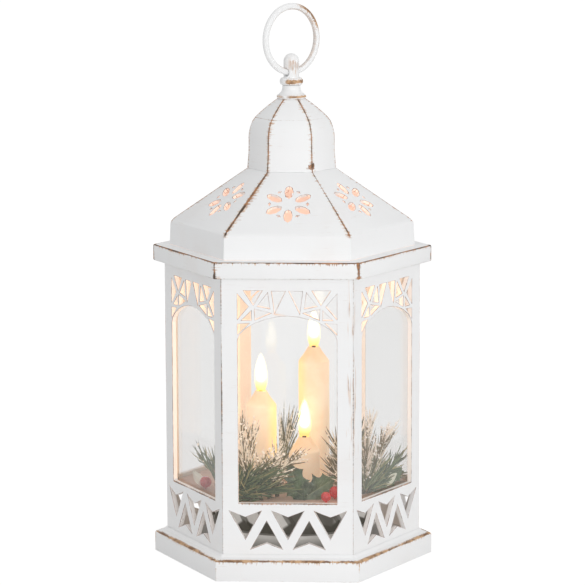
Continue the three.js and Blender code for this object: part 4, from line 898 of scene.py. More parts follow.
class Tree:
    """A Geometry Nodes tree with named inputs."""

    def __init__(self, name, inputs):
        self.group = bpy.data.node_groups.new(name, "GeometryNodeTree")
        face = self.group.interface
        face.new_socket("Geometry", in_out="INPUT", socket_type="NodeSocketGeometry")
        self.ids = {}
        for key, kind in inputs.items():
            self.ids[key] = face.new_socket(key, in_out="INPUT", socket_type=kind).identifier
        face.new_socket("Geometry", in_out="OUTPUT", socket_type="NodeSocketGeometry")
        self.input = self.group.nodes.new("NodeGroupInput")
        self.output = self.group.nodes.new("NodeGroupOutput")

    def given(self, key):
        return self.input.outputs[key]

    def add(self, kind, settings=None, inputs=None, output=0):
        made = self.group.nodes.new(kind)
        for key, value in (settings or {}).items():
            setattr(made, key, value)
        for key, value in (inputs or {}).items():
            if isinstance(value, bpy.types.NodeSocket):
                self.group.links.new(value, made.inputs[key])
            else:
                made.inputs[key].default_value = value
        return made.outputs[output]

    def maths(self, operation, *values):
        return self.add("ShaderNodeMath", {"operation": operation}, dict(enumerate(values)))

    def vector(self, x, y, z):
        return self.add("ShaderNodeCombineXYZ", None, {0: x, 1: y, 2: z})

    def random(self, low, high, shift):
        """A random number of each element, from the Seed input and a shift of its own."""
        seed = self.maths("ADD", self.given("Seed"), float(shift))
        inputs = {2: low, 3: high, "Seed": seed}
        return self.add("FunctionNodeRandomValue", {"data_type": "FLOAT"}, inputs, output=1)

    def named(self, attribute):
        return self.add("GeometryNodeInputNamedAttribute", {"data_type": "FLOAT"}, {"Name": attribute})

    def marked(self, geometry, domain, attribute, value):
        """The geometry with a value kept on each element under a name."""
        return self.add(
            "GeometryNodeStoreNamedAttribute",
            {"data_type": "FLOAT", "domain": domain},
            {"Geometry": geometry, "Name": attribute, "Value": value},
        )

    def rotated(self, rotation, x, y, z):
        """A rotation followed by turns about its own axes."""
        turn = self.add("FunctionNodeEulerToRotation", None, {0: self.vector(x, y, z)})
        inputs = {"Rotation": rotation, "Rotate By": turn}
        return self.add("FunctionNodeRotateRotation", {"rotation_space": "LOCAL"}, inputs)

    def instances(self, points, shape, rotation, scale):
        inputs = {"Points": points, "Instance": shape, "Rotation": rotation, "Scale": scale}
        return self.add("GeometryNodeInstanceOnPoints", None, inputs)

    def finish(self, geometry):
        real = self.add("GeometryNodeRealizeInstances", None, {0: geometry})
        inputs = {"Geometry": real, "Material": self.given("Material")}
        self.group.links.new(self.add("GeometryNodeSetMaterial", None, inputs), self.output.inputs[0])

    def applied(self, obj, values):
        """obj's geometry after this tree with these input values, as a plain mesh."""
        modifier = obj.modifiers.new(self.group.name, "NODES")
        modifier.node_group = self.group
        for key, value in values.items():
            modifier[self.ids[key]] = value
        return evaluated_mesh(obj)


def needle_tree():
    """Needles set round branches by the golden angle, each a thin bent cone. A branch is a chain of edges
    whose points carry reach, lean and frost: the needles' length, how far they lean off the branch, and their
    frost. tip, tone and frost stay on the needles for the finish."""
    tree = Tree(
        "needles on branches",
        {
            "Spacing": "NodeSocketFloat",
            "Radius": "NodeSocketFloat",
            "Seed": "NodeSocketInt",
            "Material": "NodeSocketMaterial",
        },
    )
    # the needle is made 1 m long and 60 times as thick as it is, and scaled down to its length and thickness
    bend = {"Resolution": 5, "Start": (0, 0, 0), "Middle": (0, 0.0, 0.5), "End": (0, 0.09, 1.0)}
    thickening = 60.0
    needle = tree.add("GeometryNodeCurveQuadraticBezier", None, bend)
    share = tree.add("GeometryNodeSplineParameter", output="Factor")
    taper = tree.maths("SUBTRACT", 1.15, tree.maths("POWER", share, 5.0))
    thickness = tree.maths("MULTIPLY", tree.maths("MULTIPLY", taper, tree.given("Radius")), thickening)
    circle = tree.add("GeometryNodeCurvePrimitiveCircle", None, {"Resolution": 4, "Radius": 1.0})
    section = tree.add(
        "GeometryNodeCurveToMesh",
        None,
        {"Curve": tree.marked(needle, "POINT", "tip", share), "Profile Curve": circle, "Scale": thickness},
    )
    branches = tree.add("GeometryNodeMeshToCurve", None, {"Mesh": tree.given("Geometry")})
    points = tree.add(
        "GeometryNodeCurveToPoints", {"mode": "LENGTH"}, {"Curve": branches, "Length": tree.given("Spacing")}
    )
    turn = needle_turn(tree, points.node.outputs["Rotation"])
    length = tree.maths("MULTIPLY", tree.random(0.66, 1.14, 1), tree.named("reach"))
    on_stem = tree.instances(points, section, turn, tree.vector(0.0166, 0.0166, length))
    tree.finish(tree.marked(on_stem, "INSTANCE", "tone", tree.random(0.0, 1.0, 2)))
    return tree


def needle_turn(tree, along):
    """Each needle's turn: with the stem, round it by the golden angle and a jitter, and leaning off it."""
    index = tree.add("GeometryNodeInputIndex")
    golden = math.pi * (3 - math.sqrt(5))
    around = tree.maths("ADD", tree.maths("MULTIPLY", index, golden), tree.random(-0.5, 0.5, 4))
    lean = tree.maths("MULTIPLY", tree.random(0.45, 1.35, 5), tree.named("lean"))
    return tree.rotated(tree.rotated(along, 0.0, 0.0, around), lean, 0.0, 0.0)


def frost_tree():
    """Small clumps of frost strewn over frosted needles."""
    tree = Tree(
        "frost on needles",
        {
            "Density": "NodeSocketFloat",
            "Size": "NodeSocketFloat",
            "Seed": "NodeSocketInt",
            "Material": "NodeSocketMaterial",
        },
    )
    seed = tree.given("Seed")
    share = tree.maths("POWER", tree.named("frost"), 3.0)
    density = tree.maths("MULTIPLY", share, tree.given("Density"))
    spread = tree.add(
        "GeometryNodeDistributePointsOnFaces",
        {"distribute_method": "RANDOM"},
        {"Mesh": tree.given("Geometry"), "Density": density, "Seed": seed},
    )
    clump = tree.add("GeometryNodeMeshIcoSphere", None, {"Radius": 1.0, "Subdivisions": 1})
    wide = tree.maths("MULTIPLY", tree.maths("POWER", tree.random(0.45, 1.25, 3), 2.0), tree.given("Size"))
    any_way = {1: (6.3, 6.3, 6.3), "Seed": seed}
    turn = tree.add("FunctionNodeRandomValue", {"data_type": "FLOAT_VECTOR"}, any_way)
    size = tree.vector(wide, wide, tree.maths("MULTIPLY", wide, 0.7))
    tree.finish(tree.instances(spread, clump, turn, size))
    return tree


def over_deck(x, y, z):
    """A place in millimetres over the deck, in metres."""
    return x * MM, y * MM, (DECK_TOP + z) * MM


def branch_lines(name, routes):
    """Chains of edges with reach, lean and frost on their points. A route is its points and those three as
    (at the foot, at the tip)."""
    vertices, edges, values = [], [], {"reach": [], "lean": [], "frost": []}
    for points, *ends in routes:
        line = smooth_profile(points, 8)
        edges += [(len(vertices) + k, len(vertices) + k + 1) for k in range(len(line) - 1)]
        vertices += [over_deck(*point) for point in line]
        for (key, listed), (foot, tip) in zip(values.items(), ends):
            scale = MM if key == "reach" else 1
            listed += [(foot + (tip - foot) * k / (len(line) - 1)) * scale for k in range(len(line))]
    mesh = bpy.data.meshes.new(name)
    mesh.from_pydata(vertices, edges, [])
    for key, listed in values.items():
        mesh.attributes.new(key, "FLOAT", "POINT").data.foreach_set("value", listed)
    return placed(name, mesh)


def stems(name, routes, radius):
    """Round stems along the routes, each from the deck up and thinner towards its tip."""
    data = bpy.data.curves.new(name, "CURVE")
    data.dimensions = "3D"
    for points, *_ in routes:
        foot = (*points[0][:2], 0)
        line = [foot, *smooth_profile(points, 5)]
        spline = data.splines.new("POLY")
        spline.points.add(len(line) - 1)
        for k, (point, place) in enumerate(zip(spline.points, line)):
            point.co = (*over_deck(*place), 1.0)
            point.radius = 1 - 0.55 * k / len(line)
    data.bevel_depth, data.bevel_resolution, data.use_fill_caps = radius * MM, 2, True
    return evaluated_mesh(placed(name, data))


# Painted shell


def panel_warmth(f):
    """How far a panel's reveals get painted candlelight: little below the sill and at the corners, and less
    at the front and at the far sides."""
    above_sill = (f.z.step(52.2, 53.2) * 0.88 + 0.12) * SixSided(f).radius.step(86.0, 84.8)
    front = 1 - 0.35 * f.y.step(0.0, -15.0)
    return above_sill * front * (1 - 0.72 * f.x.step(73.5, 76.0)) * (1 - 0.25 * f.x.step(-73.5, -76.0))


def at_fretwork(turn):
    """Says where the outer face of the panel that faces turn is pierced."""
    out = Vector((math.cos(turn), math.sin(turn)))
    side = Vector((-math.sin(turn), math.cos(turn)))
    skin, half_width, foot = 1.2, 38.0, 18.0

    def is_rim(x, y, z):
        point = Vector((x, y))
        return point @ out > BODY_FLAT - skin and abs(point @ side) < half_width and z > foot

    return is_rim


def at_rosette(x, y, z):
    """Says where the roof is pierced: off its ridges, its skirt and its neck."""
    off_corner = (math.atan2(y, x) + SIXTH / 2) % SIXTH - SIXTH / 2
    from_ridge = abs(math.hypot(x, y) * math.sin(off_corner))
    return from_ridge > 4 and SKIRT_TOP + 3 < z < NECK_Z - 3


def shell():
    panel = paint("panel_paint", panel_wear, [(1.0, 0.0)], panel_warmth, 0.62, outline=0.95)
    for i in range(6):
        turn = i * SIXTH - math.pi / 2
        softened(f"side_panel_{i + 1}", panel, 0.25, pierced=at_fretwork(turn))
    softened("cornice", paint("cornice_paint", cornice_wear), 0.45)
    plinth = paint("plinth_paint", plinth_wear, tones=(linear(132, 100, 74), linear(208, 170, 132)))
    softened("plinth", plinth, 0.45)
    ways = [(0.62, 0.785), (1.0, 0.1)]
    roof = paint("roof_paint", roof_wear, ways, None, 0.34, outline=1.0, shine=linear(246, 214, 206))
    softened("roof", roof, 0.2, 1, pierced=at_rosette)
    softened("dome", paint("dome_paint", dome_wear), 0.5)
    plain = paint("base_paint", base_wear)
    softened("base_plate", plain, 0.25)
    softened("battery_door", plain, 0.3, 2, "door")


def finial():
    """Turned collar with a rounded lip and a flared neck, bored for the eye's shank."""
    rim = DOME_TOP + 2.5
    bore, neck, top = 2.3, 6.1, DOME_TOP + 8.9
    lip = [(9.1, DOME_TOP), (9.8, DOME_TOP + 0.7), (9.9, DOME_TOP + 1.3), (9.8, rim - 0.5), (9.3, rim)]
    flare = [(9.3, rim), (7.9, rim + 1.1), (6.9, rim + 2.3), (6.3, rim + 3.6), (neck, rim + 5.0)]
    outline = [(bore, DOME_TOP), *smooth_profile(lip), *smooth_profile(flare)[1:]]
    outline += [(neck, top), (bore, top), (bore, DOME_TOP)]
    finish = paint("finial_paint", finial_wear, tones=WORN_TAN)
    new_piece("finial_turned", turned(outline), finish, ("finial",))


def hanging_eye():
    """Shank, bead and bullet in one, with the hole for the ring."""
    bulge, top = 2.6, BULLET_FOOT + BULLET_HEIGHT
    shank = [(0, SHANK_FOOT), (1.7, SHANK_FOOT), (2, SHANK_FOOT + 0.3), (2, BEAD_FOOT), (5.1, BEAD_FOOT)]
    bead = []
    for k in range(1, 12):
        a = math.pi * k / 12
        height = BEAD_FOOT + BEAD_HEIGHT * (1 - math.cos(a)) / 2
        bead.append((EYE_RADIUS + bulge * math.sin(a) ** 0.6, height))
    turns = [math.pi * k / 24 for k in range(12)]
    cap = [(EYE_RADIUS * math.cos(a), top - EYE_RADIUS + EYE_RADIUS * math.sin(a)) for a in turns]
    outline = [*shank, *bead, (EYE_RADIUS, BULLET_FOOT), *cap, (0, top)]
    white = paint("eye_paint", eye_wear, tones=WORN_TAN)
    eye = new_piece("eye_work", turned(outline), white)
    drill = ring_drill()
    cut = eye.modifiers.new("ring hole", "BOOLEAN")
    cut.operation, cut.solver, cut.object = "DIFFERENCE", "EXACT", drill
    rounding(eye, 0.25, 2, 40)
    mesh = evaluated_mesh(eye)
    bpy.data.objects.remove(drill)
    as_piece("hanging_eye_turned", mesh, white, ("hanging_eye",), crease=40)


def ring_drill():
    """A cylinder through the eye, along the line that the ring passes."""
    reach = 12
    profile = [(0, -reach), (HOLE_RADIUS, -reach), (HOLE_RADIUS, reach), (0, reach)]
    mesh = mesh_of("drill", turned(profile, 48))
    axis = Vector((math.cos(RING_TURN), math.sin(RING_TURN), 0))
    turn = Vector((0, 0, 1)).rotation_difference(axis).to_matrix().to_4x4()
    mesh.transform(Matrix.Translation(Vector((0, 0, HOLE_Z)) * MM) @ turn)
    return placed("drill", mesh)


def ring():
    """Round wire bent to an upright ring."""
    around, across = 128, 24
    vertices, faces = [], []
    for i in range(around):
        a = 2 * math.pi * i / around
        for j in range(across):
            b = 2 * math.pi * j / across
            reach = RING_REACH + RING_WIRE * math.cos(b)
            flat, side = reach * math.cos(a), RING_WIRE * math.sin(b)
            x = flat * math.cos(RING_TURN) - side * math.sin(RING_TURN)
            y = flat * math.sin(RING_TURN) + side * math.cos(RING_TURN)
            vertices.append((x, y, RING_Z + reach * math.sin(a)))
            nxt, up = (i + 1) % around, (j + 1) % across
            faces.append((i * across + j, nxt * across + j, nxt * across + up, i * across + up))
    finish = paint("ring_paint", ring_wear, tones=WORN_TAN)
    new_piece("ring_wire", (vertices, faces), finish, ("ring_handle",), "ring", 80)


# Candles

# How far down the painted light of the flame reaches, its strength, and the flank painted as lit by a
# neighbour
WAX_GLOW = {"tall": (95, 0.46, -1), "middle": (62, 0.54, 1), "short": (16, 0.5, 0)}

# Radius and height over the candle's top, in millimetres
FLAME_OUTLINE = [
    (2.75, 0.1),
    (3.3, 1.5),
    (4.0, 4.2),
    (4.4, 8.8),
    (4.2, 13.2),
    (3.4, 17.6),
    (2.2, 21.9),
    (1.0, 24.9),
    (0.0, FLAME_HEIGHT),
]
HEART_OUTLINE = [
    (0.0, 5.2),
    (1.5, 5.6),
    (2.7, 8.0),
    (3.0, 10.4),
    (2.6, 14.4),
    (1.7, 18.4),
    (0.8, 21.6),
    (0.0, 23.0),
]


def candle_outline(height):
    """A sleeve open below and at its narrow top, with a conical shoulder."""
    foot, low, shoulder = DECK_TOP + 0.02, DECK_TOP + 0.4, DECK_TOP + height
    cone, bend = shoulder + CONE_RISE, (8.0, shoulder + 3.0)
    edge = [(CANDLE_RADIUS, shoulder - 1.6), (10.5, shoulder - 0.4), (9.8, shoulder + 0.7), bend]
    top = [bend, (5.9, cone - 3.6), (4.3, cone - 0.9), (3.9, cone - 0.05)]
    return [
        (CANDLE_BORE, foot),
        (10.5, foot),
        (CANDLE_RADIUS, low),
        *[(CANDLE_RADIUS, low + (height - 2.2) * k / 8) for k in range(1, 8)],
        *smooth_profile(edge, 4),
        *smooth_profile(top, 4)[1:],
        (3.2, cone - 0.05),
        (3.2, cone - 1.9),
        (CANDLE_BORE, shoulder - 1.4),
        (CANDLE_BORE, foot),
    ]


def candles():
    charred = wick_finish()
    for key, (x, y, height) in CANDLES.items():
        vertices, faces = turned(candle_outline(height), 80, (x, y))
        # a little sag and wobble, as on a poured candle
        wobbled = []
        for vx, vy, vz in vertices:
            a = math.atan2(vy - y, vx - x)
            grow = 1 + 0.006 * math.sin(3 * a + vz * 0.09) + 0.004 * math.sin(5 * a - vz * 0.21 + len(key))
            wobbled.append((x + (vx - x) * grow, y + (vy - y) * grow, vz))
        cone = DECK_TOP + height + CONE_RISE
        finish = wax(f"wax_{key}", x, cone, *WAX_GLOW[key])
        sleeve = (wobbled, faces)
        new_piece(f"candle_{key}_sleeve", sleeve, finish, (f"candle_{key}",), crease=50)
        flame(key, x, y, cone)
        wick(key, x, y, cone, charred)


def flame(key, x, y, foot):
    """The lens of a flame, on a hollow stem for its LED, and the bright heart that shows through it."""
    body = drop_profile([(radius, foot + height) for radius, height in FLAME_OUTLINE], 5)
    stem = [(0.0, 4.9), (1.26, 4.1), (1.8, 3.1), (1.8, -3.0), (2.9, -3.0), (2.9, -0.1)]
    outline = [*[(radius, foot + height) for radius, height in stem], *body]
    lens = flame_light(f"flame_{key}", foot)
    shape = turned(outline, 48, (x, y))
    new_piece(f"flame_{key}_lens", shape, lens, (f"flame_{key}",), crease=60)
    heart = [(radius, foot + height) for radius, height in drop_profile(HEART_OUTLINE, 5)]
    core = flame_core(f"flame_{key}_heart", foot)
    new_piece(f"flame_{key}_heart", turned(heart, 32, (x, y)), core, crease=60)


def wick(key, x, y, foot, finish):
    """The dark nub of a wick, lying at the flame's foot on the side that faces the front."""
    nub = drop_profile([(0.0, -1.4), (0.5, -1.2), (0.62, 0.0), (0.5, 1.2), (0.0, 1.4)], 4)
    vertices, faces = turned(nub, 12)
    laid = [(x + vz, y - 3.45 + vy * 0.9, foot + 0.3 + vx) for vx, vy, vz in vertices]
    new_piece(f"wick_{key}", (laid, faces), finish, crease=60)


# Decoration


# Branches of each sprig: the points in millimetres over the deck, then the needles' reach, lean and frost,
# each at the branch's foot and at its tip
SPRIGS = {
    "pine_sprig_front_left": [
        ([(-25, -50, 1), (-29, -49, 14), (-31, -48, 29), (-32, -47, 46)], (18, 15), (0.8, 0.4), (0.3, 0.85)),
        ([(-24, -50, 2), (-27, -48, 15), (-27, -46, 30), (-25, -45, 42)], (16, 13), (0.8, 0.5), (0.35, 0.9)),
        ([(-22, -51, 2), (-21, -50, 13), (-19, -48, 24)], (15, 13), (0.9, 0.7), (0.3, 0.9)),
        ([(-34, -58, 1), (-26, -60, 5), (-16, -60, 7), (-7, -59, 8)], (22, 17), (0.6, 0.3), (0.0, 0.1)),
        ([(-38, -56, 2), (-31, -59, 9), (-22, -58, 14), (-13, -57, 17)], (21, 16), (0.65, 0.35), (0.0, 0.15)),
        ([(-37, -54, 2), (-30, -56, 13), (-22, -55, 19), (-14, -54, 22)], (17, 14), (0.9, 0.6), (0.1, 0.5)),
        ([(-24, -58, 1), (-32, -58, 4), (-39, -55, 7)], (17, 15), (0.9, 0.7), (0.0, 0.0)),
        ([(-18, -58, 1), (-26, -61, 2), (-34, -61, 2)], (14, 12), (1.1, 0.9), (0.0, 0.0)),
    ],
    "pine_sprig_front": [
        ([(-8, -46, 1), (-7, -44, 12), (-5, -43, 23), (-3, -42, 35)], (26, 32), (0.3, 0.24), (0.4, 0.45)),
        ([(-9, -47, 2), (-7, -48, 14), (-2, -48, 22), (5, -47, 26)], (15, 13), (0.75, 0.55), (0.4, 0.9)),
        ([(-13, -49, 3), (-12, -49, 17), (-9, -48, 29)], (15, 13), (0.9, 0.75), (0.4, 0.95)),
        ([(-14, -52, 2), (-10, -54, 12), (-5, -54, 18)], (14, 12), (0.9, 0.8), (0.2, 0.9)),
    ],
    "pine_sprig_right": [
        ([(50, -37, 1), (51, -34, 16), (52, -31, 31), (53, -28, 44)], (20, 15), (0.5, 0.35), (0.35, 1.0)),
        ([(53, -35, 2), (57, -29, 16), (61, -23, 28), (65, -17, 35)], (20, 15), (0.5, 0.35), (0.3, 1.0)),
        ([(54, -33, 2), (61, -24, 8), (67, -15, 13), (71, -8, 17)], (17, 15), (0.6, 0.45), (0.0, 0.3)),
        ([(49, -38, 1), (53, -34, 8), (58, -28, 14)], (22, 18), (0.4, 0.3), (0.0, 0.1)),
        ([(52, -36, 1), (60, -25, 3), (67, -13, 5), (71, -2, 6)], (13, 12), (0.8, 0.6), (0.0, 0.0)),
        ([(47, -32, 2), (40, -37, 11), (35, -40, 22), (31, -41, 35)], (20, 15), (0.6, 0.5), (0.2, 0.6)),
        ([(47, -34, 1), (40, -41, 5), (35, -45, 11), (30, -46, 19)], (19, 15), (0.6, 0.5), (0.2, 0.7)),
        ([(48, -30, 1), (41, -33, 10), (37, -34, 20), (35, -34, 30)], (20, 16), (0.7, 0.6), (0.2, 0.6)),
    ],
    "pine_sprig_right_back": [
        ([(40, -8, 1), (44, 0, 12), (46, 10, 26), (44, 18, 40)], (16, 13), (0.7, 0.5), (0.1, 0.5)),
        ([(42, -4, 2), (50, 6, 10), (57, 16, 18)], (15, 13), (0.7, 0.5), (0.0, 0.3)),
    ],
    "pine_sprig_left": [
        ([(-46, -44, 1), (-49, -42, 9), (-54, -38, 17), (-59, -34, 22)], (7, 17), (0.25, 0.6), (0.05, 0.3)),
        ([(-46, -45, 1), (-48, -43, 9), (-51, -39, 21)], (7, 15), (0.25, 0.6), (0.0, 0.15)),
        ([(-42, -38, 2), (-45, -28, 14), (-45, -20, 30)], (15, 13), (0.6, 0.45), (0.1, 0.4)),
    ],
}


def kept_inside(mesh):
    """Presses needle points that would pass a pane, the deck or a candle back to its surface."""
    off_pane, off_deck, off_candle = 0.7, 0.35, 0.5
    co = np.zeros(len(mesh.vertices) * 3, np.float32)
    mesh.vertices.foreach_get("co", co)
    p = co.reshape(-1, 3) / MM
    for k in range(6):
        a = (k + 0.5) * SIXTH
        n = np.array([math.cos(a), math.sin(a)])
        over = p[:, :2] @ n - (PANE_IN - off_pane)
        p[:, :2] -= np.outer(np.clip(over, 0, None), n)
    p[:, 2] = np.maximum(p[:, 2], DECK_TOP + off_deck)
    reach = CANDLE_RADIUS + off_candle
    for x, y, height in CANDLES.values():
        d = p[:, :2] - np.array([x, y])
        away = np.hypot(d[:, 0], d[:, 1])
        low = p[:, 2] < DECK_TOP + height + CONE_RISE
        push = np.where((away < reach) & low, reach / np.maximum(away, 1e-3), 1.0)
        p[:, :2] = np.array([x, y]) + d * push[:, None]
    mesh.vertices.foreach_set("co", (p * MM).astype(np.float32).ravel())
    mesh.update()


def sprigs():
    """Each sprig's needles, the frost on them and its stems, with a seed of its own."""
    needle, clumps = needle_tree(), frost_tree()
    needles, frost, bark = needle_finish(), frost_finish(), stem_finish()
    for seed, (name, routes) in enumerate(SPRIGS.items(), 3):
        given = {"Spacing": 0.5 * MM, "Radius": 0.38 * MM, "Seed": seed, "Material": needles}
        mesh = needle.applied(branch_lines(name + "_branches", routes), given)
        kept_inside(mesh)
        as_piece(name + "_needles", mesh, None, (name,), crease=60)
        given = {"Density": 150000.0, "Size": 0.76 * MM, "Seed": seed, "Material": frost}
        strewn = clumps.applied(placed(name + "_carrier", mesh.copy()), given)
        kept_inside(strewn)
        as_piece(name + "_frost", strewn, None, crease=60)
        as_piece(name + "_stem", stems(name + "_bark", routes, 0.9), bark, crease=60)


def leaf(length, width, spines=3, fold=0.25, rows=48, columns=12):
    """A leaf lying along +Y with its foot at the origin: its vertices, its faces, and each vertex's share
    along the leaf and across it."""
    vertices, faces, shares = [], [], []
    for i in range(rows + 1):
        t = i / rows
        body = max(math.sin(math.pi * t**0.85), 0.0) ** (0.6 + 0.5 * t)
        wave = 1 - 0.42 * abs(math.sin(math.pi * spines * t)) ** 0.75 if spines else 1
        half = width / 2 * body * wave + 0.25
        for j in range(columns + 1):
            c = 2 * j / columns - 1
            curl = 0.9 * math.sin(math.pi * spines * t) ** 2 * abs(c) ** 3 if spines else 0
            vertices.append((c * half, t * length, fold * abs(c * half) - curl))
            shares.append((t, c))
    n = columns + 1
    for i in range(rows):
        for j in range(columns):
            a = i * n + j
            faces.append((a, a + 1, a + n + 1, a + n))
    return vertices, faces, shares


def leaf_piece(name, leaves, finish, replaces, stalk):
    """Leaves with their thickness, on one stalk."""
    whole = bmesh.new()
    along, across = (whole.verts.layers.float.new(key) for key in ("along", "across"))
    for (x, y, z), heading, lean, pitch, form in leaves:
        vertices, faces, shares = leaf(**form)
        place = Matrix.Translation(Vector((x, y, DECK_TOP + z)))
        for angle, axis in ((heading - 90, "Z"), (lean, "Y"), (pitch, "X")):
            place = place @ Matrix.Rotation(math.radians(angle), 4, axis)
        made = []
        for v, (t, c) in zip(vertices, shares):
            vert = whole.verts.new(place @ Vector(v) * MM)
            vert[along], vert[across] = t, c
            made.append(vert)
        for face in faces:
            whole.faces.new([made[k] for k in face])
    mesh = bpy.data.meshes.new(name)
    whole.to_mesh(mesh)
    whole.free()
    flat = placed(name + "_work", mesh)
    thick = flat.modifiers.new("leaf thickness", "SOLIDIFY")
    thick.thickness, thick.offset = 0.5 * MM, 0.0
    as_piece(name + "_leaves", evaluated_mesh(flat), finish, replaces, crease=50)
    x, y, rise = stalk
    heights = [(0, 0), (1.0, 0), (0.8, rise * 0.5), (0.9, rise), (0, rise + 0.6)]
    profile = [(radius, DECK_TOP + height) for radius, height in heights]
    new_piece(name + "_stalk", turned(profile, 16, (x, y)), stem_finish(), crease=60)


# Leaves as foot, heading, lean, pitch and form. heading turns a leaf about the upright, lean tips it to the
# right as seen from the front, and pitch raises its tip
HOLLY = [
    ((9, -54, 1.0), 97, -22, 72, dict(length=26, width=19, fold=0.35)),
    ((10, -56, 1.0), 86, 58, 66, dict(length=26, width=23, spines=4)),
    ((12, -57, 1.0), 95, -60, 62, dict(length=19, width=15)),
    ((15, -54, 1.0), 84, 38, 60, dict(length=17, width=14, fold=0.3)),
]
BROAD = [
    ((-30, -54, 4), 95, -16, 74, dict(length=21, width=18)),
    ((-24, -55, 4), 85, 34, 70, dict(length=22, width=17)),
    ((61, -12, 1), 60, 46, 58, dict(length=18, width=15)),
    ((62, -2, 1), 70, 64, 58, dict(length=16, width=13)),
    ((58, 4, 1), 80, 20, 60, dict(length=14, width=12)),
]
IVORY = [
    ((60, -16, 1.5), 62, 52, 62, dict(length=14, width=8, spines=0, fold=0.3)),
    ((59, -17, 1.5), 80, -10, 50, dict(length=8, width=5, spines=0, fold=0.3)),
    ((-60, -20, 0.5), 100, -34, 72, dict(length=13, width=5.5, spines=0, fold=0.3)),
]


def foliage():
    dark, open_green, vein, green_shine = (50, 66, 48), (98, 114, 80), (168, 174, 138), (70, 84, 56)
    green = leaf_finish("holly_leaf", dark, open_green, vein, green_shine)
    ivory, grey_ivory, white, ivory_shine = (236, 232, 218), (222, 220, 202), (246, 244, 234), (240, 234, 214)
    cream = leaf_finish("ivory_leaf", ivory, grey_ivory, white, ivory_shine)
    leaf_piece("holly_spray", HOLLY, green, ("holly_spray",), (12, -54, 2.2))
    leaf_piece("broad_leaves", BROAD, green, (), (-28, -54, 4))
    leaf_piece("ivory_leaf", IVORY, cream, ("ivory_leaf",), (60, -16, 1.8))
    red = berry_finish()
    berry_piece("berry_left", [(-58.2, -25, 4.0)], red)
    berry_piece("berry_pair", [(30.7, -52, 4.0), (25, -63.5, 3.4)], red)


def berry_piece(name, places, finish):
    """Berries of (x, y, radius), each with a dent at its top, on short stalks."""
    vertices, faces = [], []
    for x, y, radius in places:
        middle = DECK_TOP + radius + 0.6
        outline = [(0.0, middle - radius)]
        for k in range(1, 20):
            a = math.pi * k / 20
            dent = 1 - 0.1 * math.exp(-((math.pi - a) / 0.28) ** 2)
            outline.append((radius * math.sin(a), middle - radius * math.cos(a) * dent))
        outline.append((0.0, middle + radius * 0.9))
        stalk_top = DECK_TOP + radius * 0.6
        stalk = [(0, DECK_TOP), (0.7, DECK_TOP), (0.6, stalk_top), (0, stalk_top)]
        for points, sides in (turned(outline, 40, (x, y)), turned(stalk, 12, (x, y))):
            faces += [[len(vertices) + k for k in face] for face in sides]
            vertices += points
    new_piece(name + "_fruit", (vertices, faces), finish, (name,), crease=50)


# Kept CAD nodes


def kept_nodes():
    """The finish of each CAD node that is shown as it is, by the start of its name."""
    jacket = moulded("lead_jacket", linear(38, 36, 36), linear(22, 20, 20), 800.0, 0.4)
    steel = metal("zinc_steel", linear(196, 194, 188))
    finishes = {
        "window_pane": pane_glass(),
        "deck": deck_finish(),
        "battery_housing": housing_finish(),
        "battery_bay": moulded("bay_grey", linear(112, 111, 110), linear(84, 83, 82)),
        "slide_switch": moulded("switch_black", linear(44, 44, 46), linear(30, 30, 32), 1200.0, 0.4),
        "switch_knob": moulded("knob_black", linear(38, 38, 40), linear(24, 24, 26), 1200.0, 0.35),
        "switch_lead": jacket,
        "led_lead": jacket,
        "led_": glowing_led(),
        "base_screw": steel,
        "eye_washer": steel,
        "eye_nut": steel,
        "contact_": metal("nickel_contact", linear(206, 202, 192), (900, 60, 60), 0.22),
        "cell_": cell_finish(),
        "circuit_board": board_finish(),
    }
    for node, piece in frame["nodes"].items():
        finish = next((made for start, made in finishes.items() if node.startswith(start)), None)
        if finish:
            piece.data.materials.clear()
            piece.data.materials.append(finish)


# Stage


def camera():
    """The photograph's view, solved from the lantern's outline in it."""
    data = bpy.data.cameras.new("camera")
    data.sensor_width, data.lens = 36, 178.36
    data.clip_start, data.clip_end = 0.05, 60
    aim, distance = Vector((0.00025, 0, 0.1811)), 1.975
    around, above, roll = (math.radians(angle) for angle in (2.551, 9.378, -0.197))
    back = Vector((math.sin(around) * math.cos(above), -math.cos(around) * math.cos(above), math.sin(above)))
    cam = placed("camera", data)
    cam.location = aim + back * distance
    turn = (-back).to_track_quat("-Z", "Y").to_matrix().to_4x4() @ Matrix.Rotation(roll, 4, "Z")
    cam.rotation_euler = turn.to_euler()
    bpy.context.scene.camera = cam


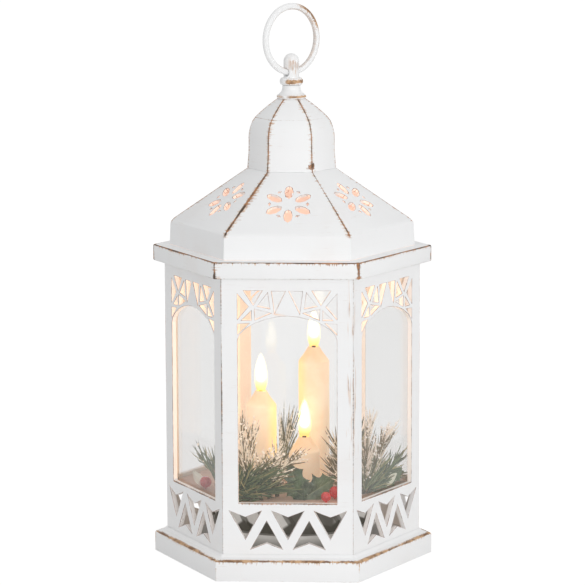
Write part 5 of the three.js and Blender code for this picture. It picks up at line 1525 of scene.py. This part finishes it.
def seen_rays(f):
    """1 for rays from the camera, also by way of metal or glass, and 0 for the light on the lantern."""
    ray = f.node("ShaderNodeLightPath").socket.node.outputs
    ways = ("Camera", "Glossy", "Transmission")
    straight, glossy, through = (Wire(f, ray[f"Is {way} Ray"]) for way in ways)
    return straight.most(glossy).most(through)


def stage():
    """A white floor that keeps the lantern's shadow, a white surround and two soft lamps."""
    corners = [(-30, -30, 0), (30, -30, 0), (30, 30, 0), (-30, 30, 0)]
    mesh = bpy.data.meshes.new("floor")
    mesh.from_pydata(corners, [], [(0, 1, 2, 3)])
    floor = placed("floor", mesh)
    floor.location.z = -0.05 * MM
    f = Finish("pale_floor")
    matt = f.node("ShaderNodeBsdfDiffuse", None, {"Color": (0.84, 0.84, 0.84, 1)})
    shade = f.node("ShaderNodeBsdfDiffuse", None, {"Color": (0.2, 0.2, 0.2, 1)})
    white = f.node("ShaderNodeEmission", None, {"Color": (1, 1, 1, 1), "Strength": 0.89})
    lit = f.node("ShaderNodeAddShader", None, (shade, white))
    mesh.materials.append(f.end(f.node("ShaderNodeMixShader", None, (seen_rays(f), matt, lit))))
    f = Finish("studio", "worlds")
    soft = f.node("ShaderNodeBackground", None, {"Color": (0.99, 0.995, 1.0, 1), "Strength": 0.65})
    white = f.node("ShaderNodeBackground", None, {"Color": (1, 1, 1, 1), "Strength": 1.0})
    surround = f.node("ShaderNodeMixShader", None, (seen_rays(f), soft, white))
    bpy.context.scene.world = f.end(surround, "ShaderNodeOutputWorld")
    lamp("key", (0.9, -2.1, 0.45), 1.6, 20.5)
    lamp("top", (0.1, -0.3, 2.2), 1.4, 2.0)


def lamp(name, place, size, power):
    """A round lamp in metres and watts, turned to the middle of the lantern."""
    data = bpy.data.lights.new(name, "AREA")
    data.shape, data.size, data.energy = "DISK", size, power
    made = placed(name, data)
    made.location = place
    aim = Vector((0, 0, 0.18)) - Vector(place)
    made.rotation_euler = aim.to_track_quat("-Z", "Y").to_euler()


camera()
shell()
finial()
hanging_eye()
ring()
candles()
sprigs()
foliage()
kept_nodes()
stage()
bpy.context.scene.view_settings.view_transform = "Standard"
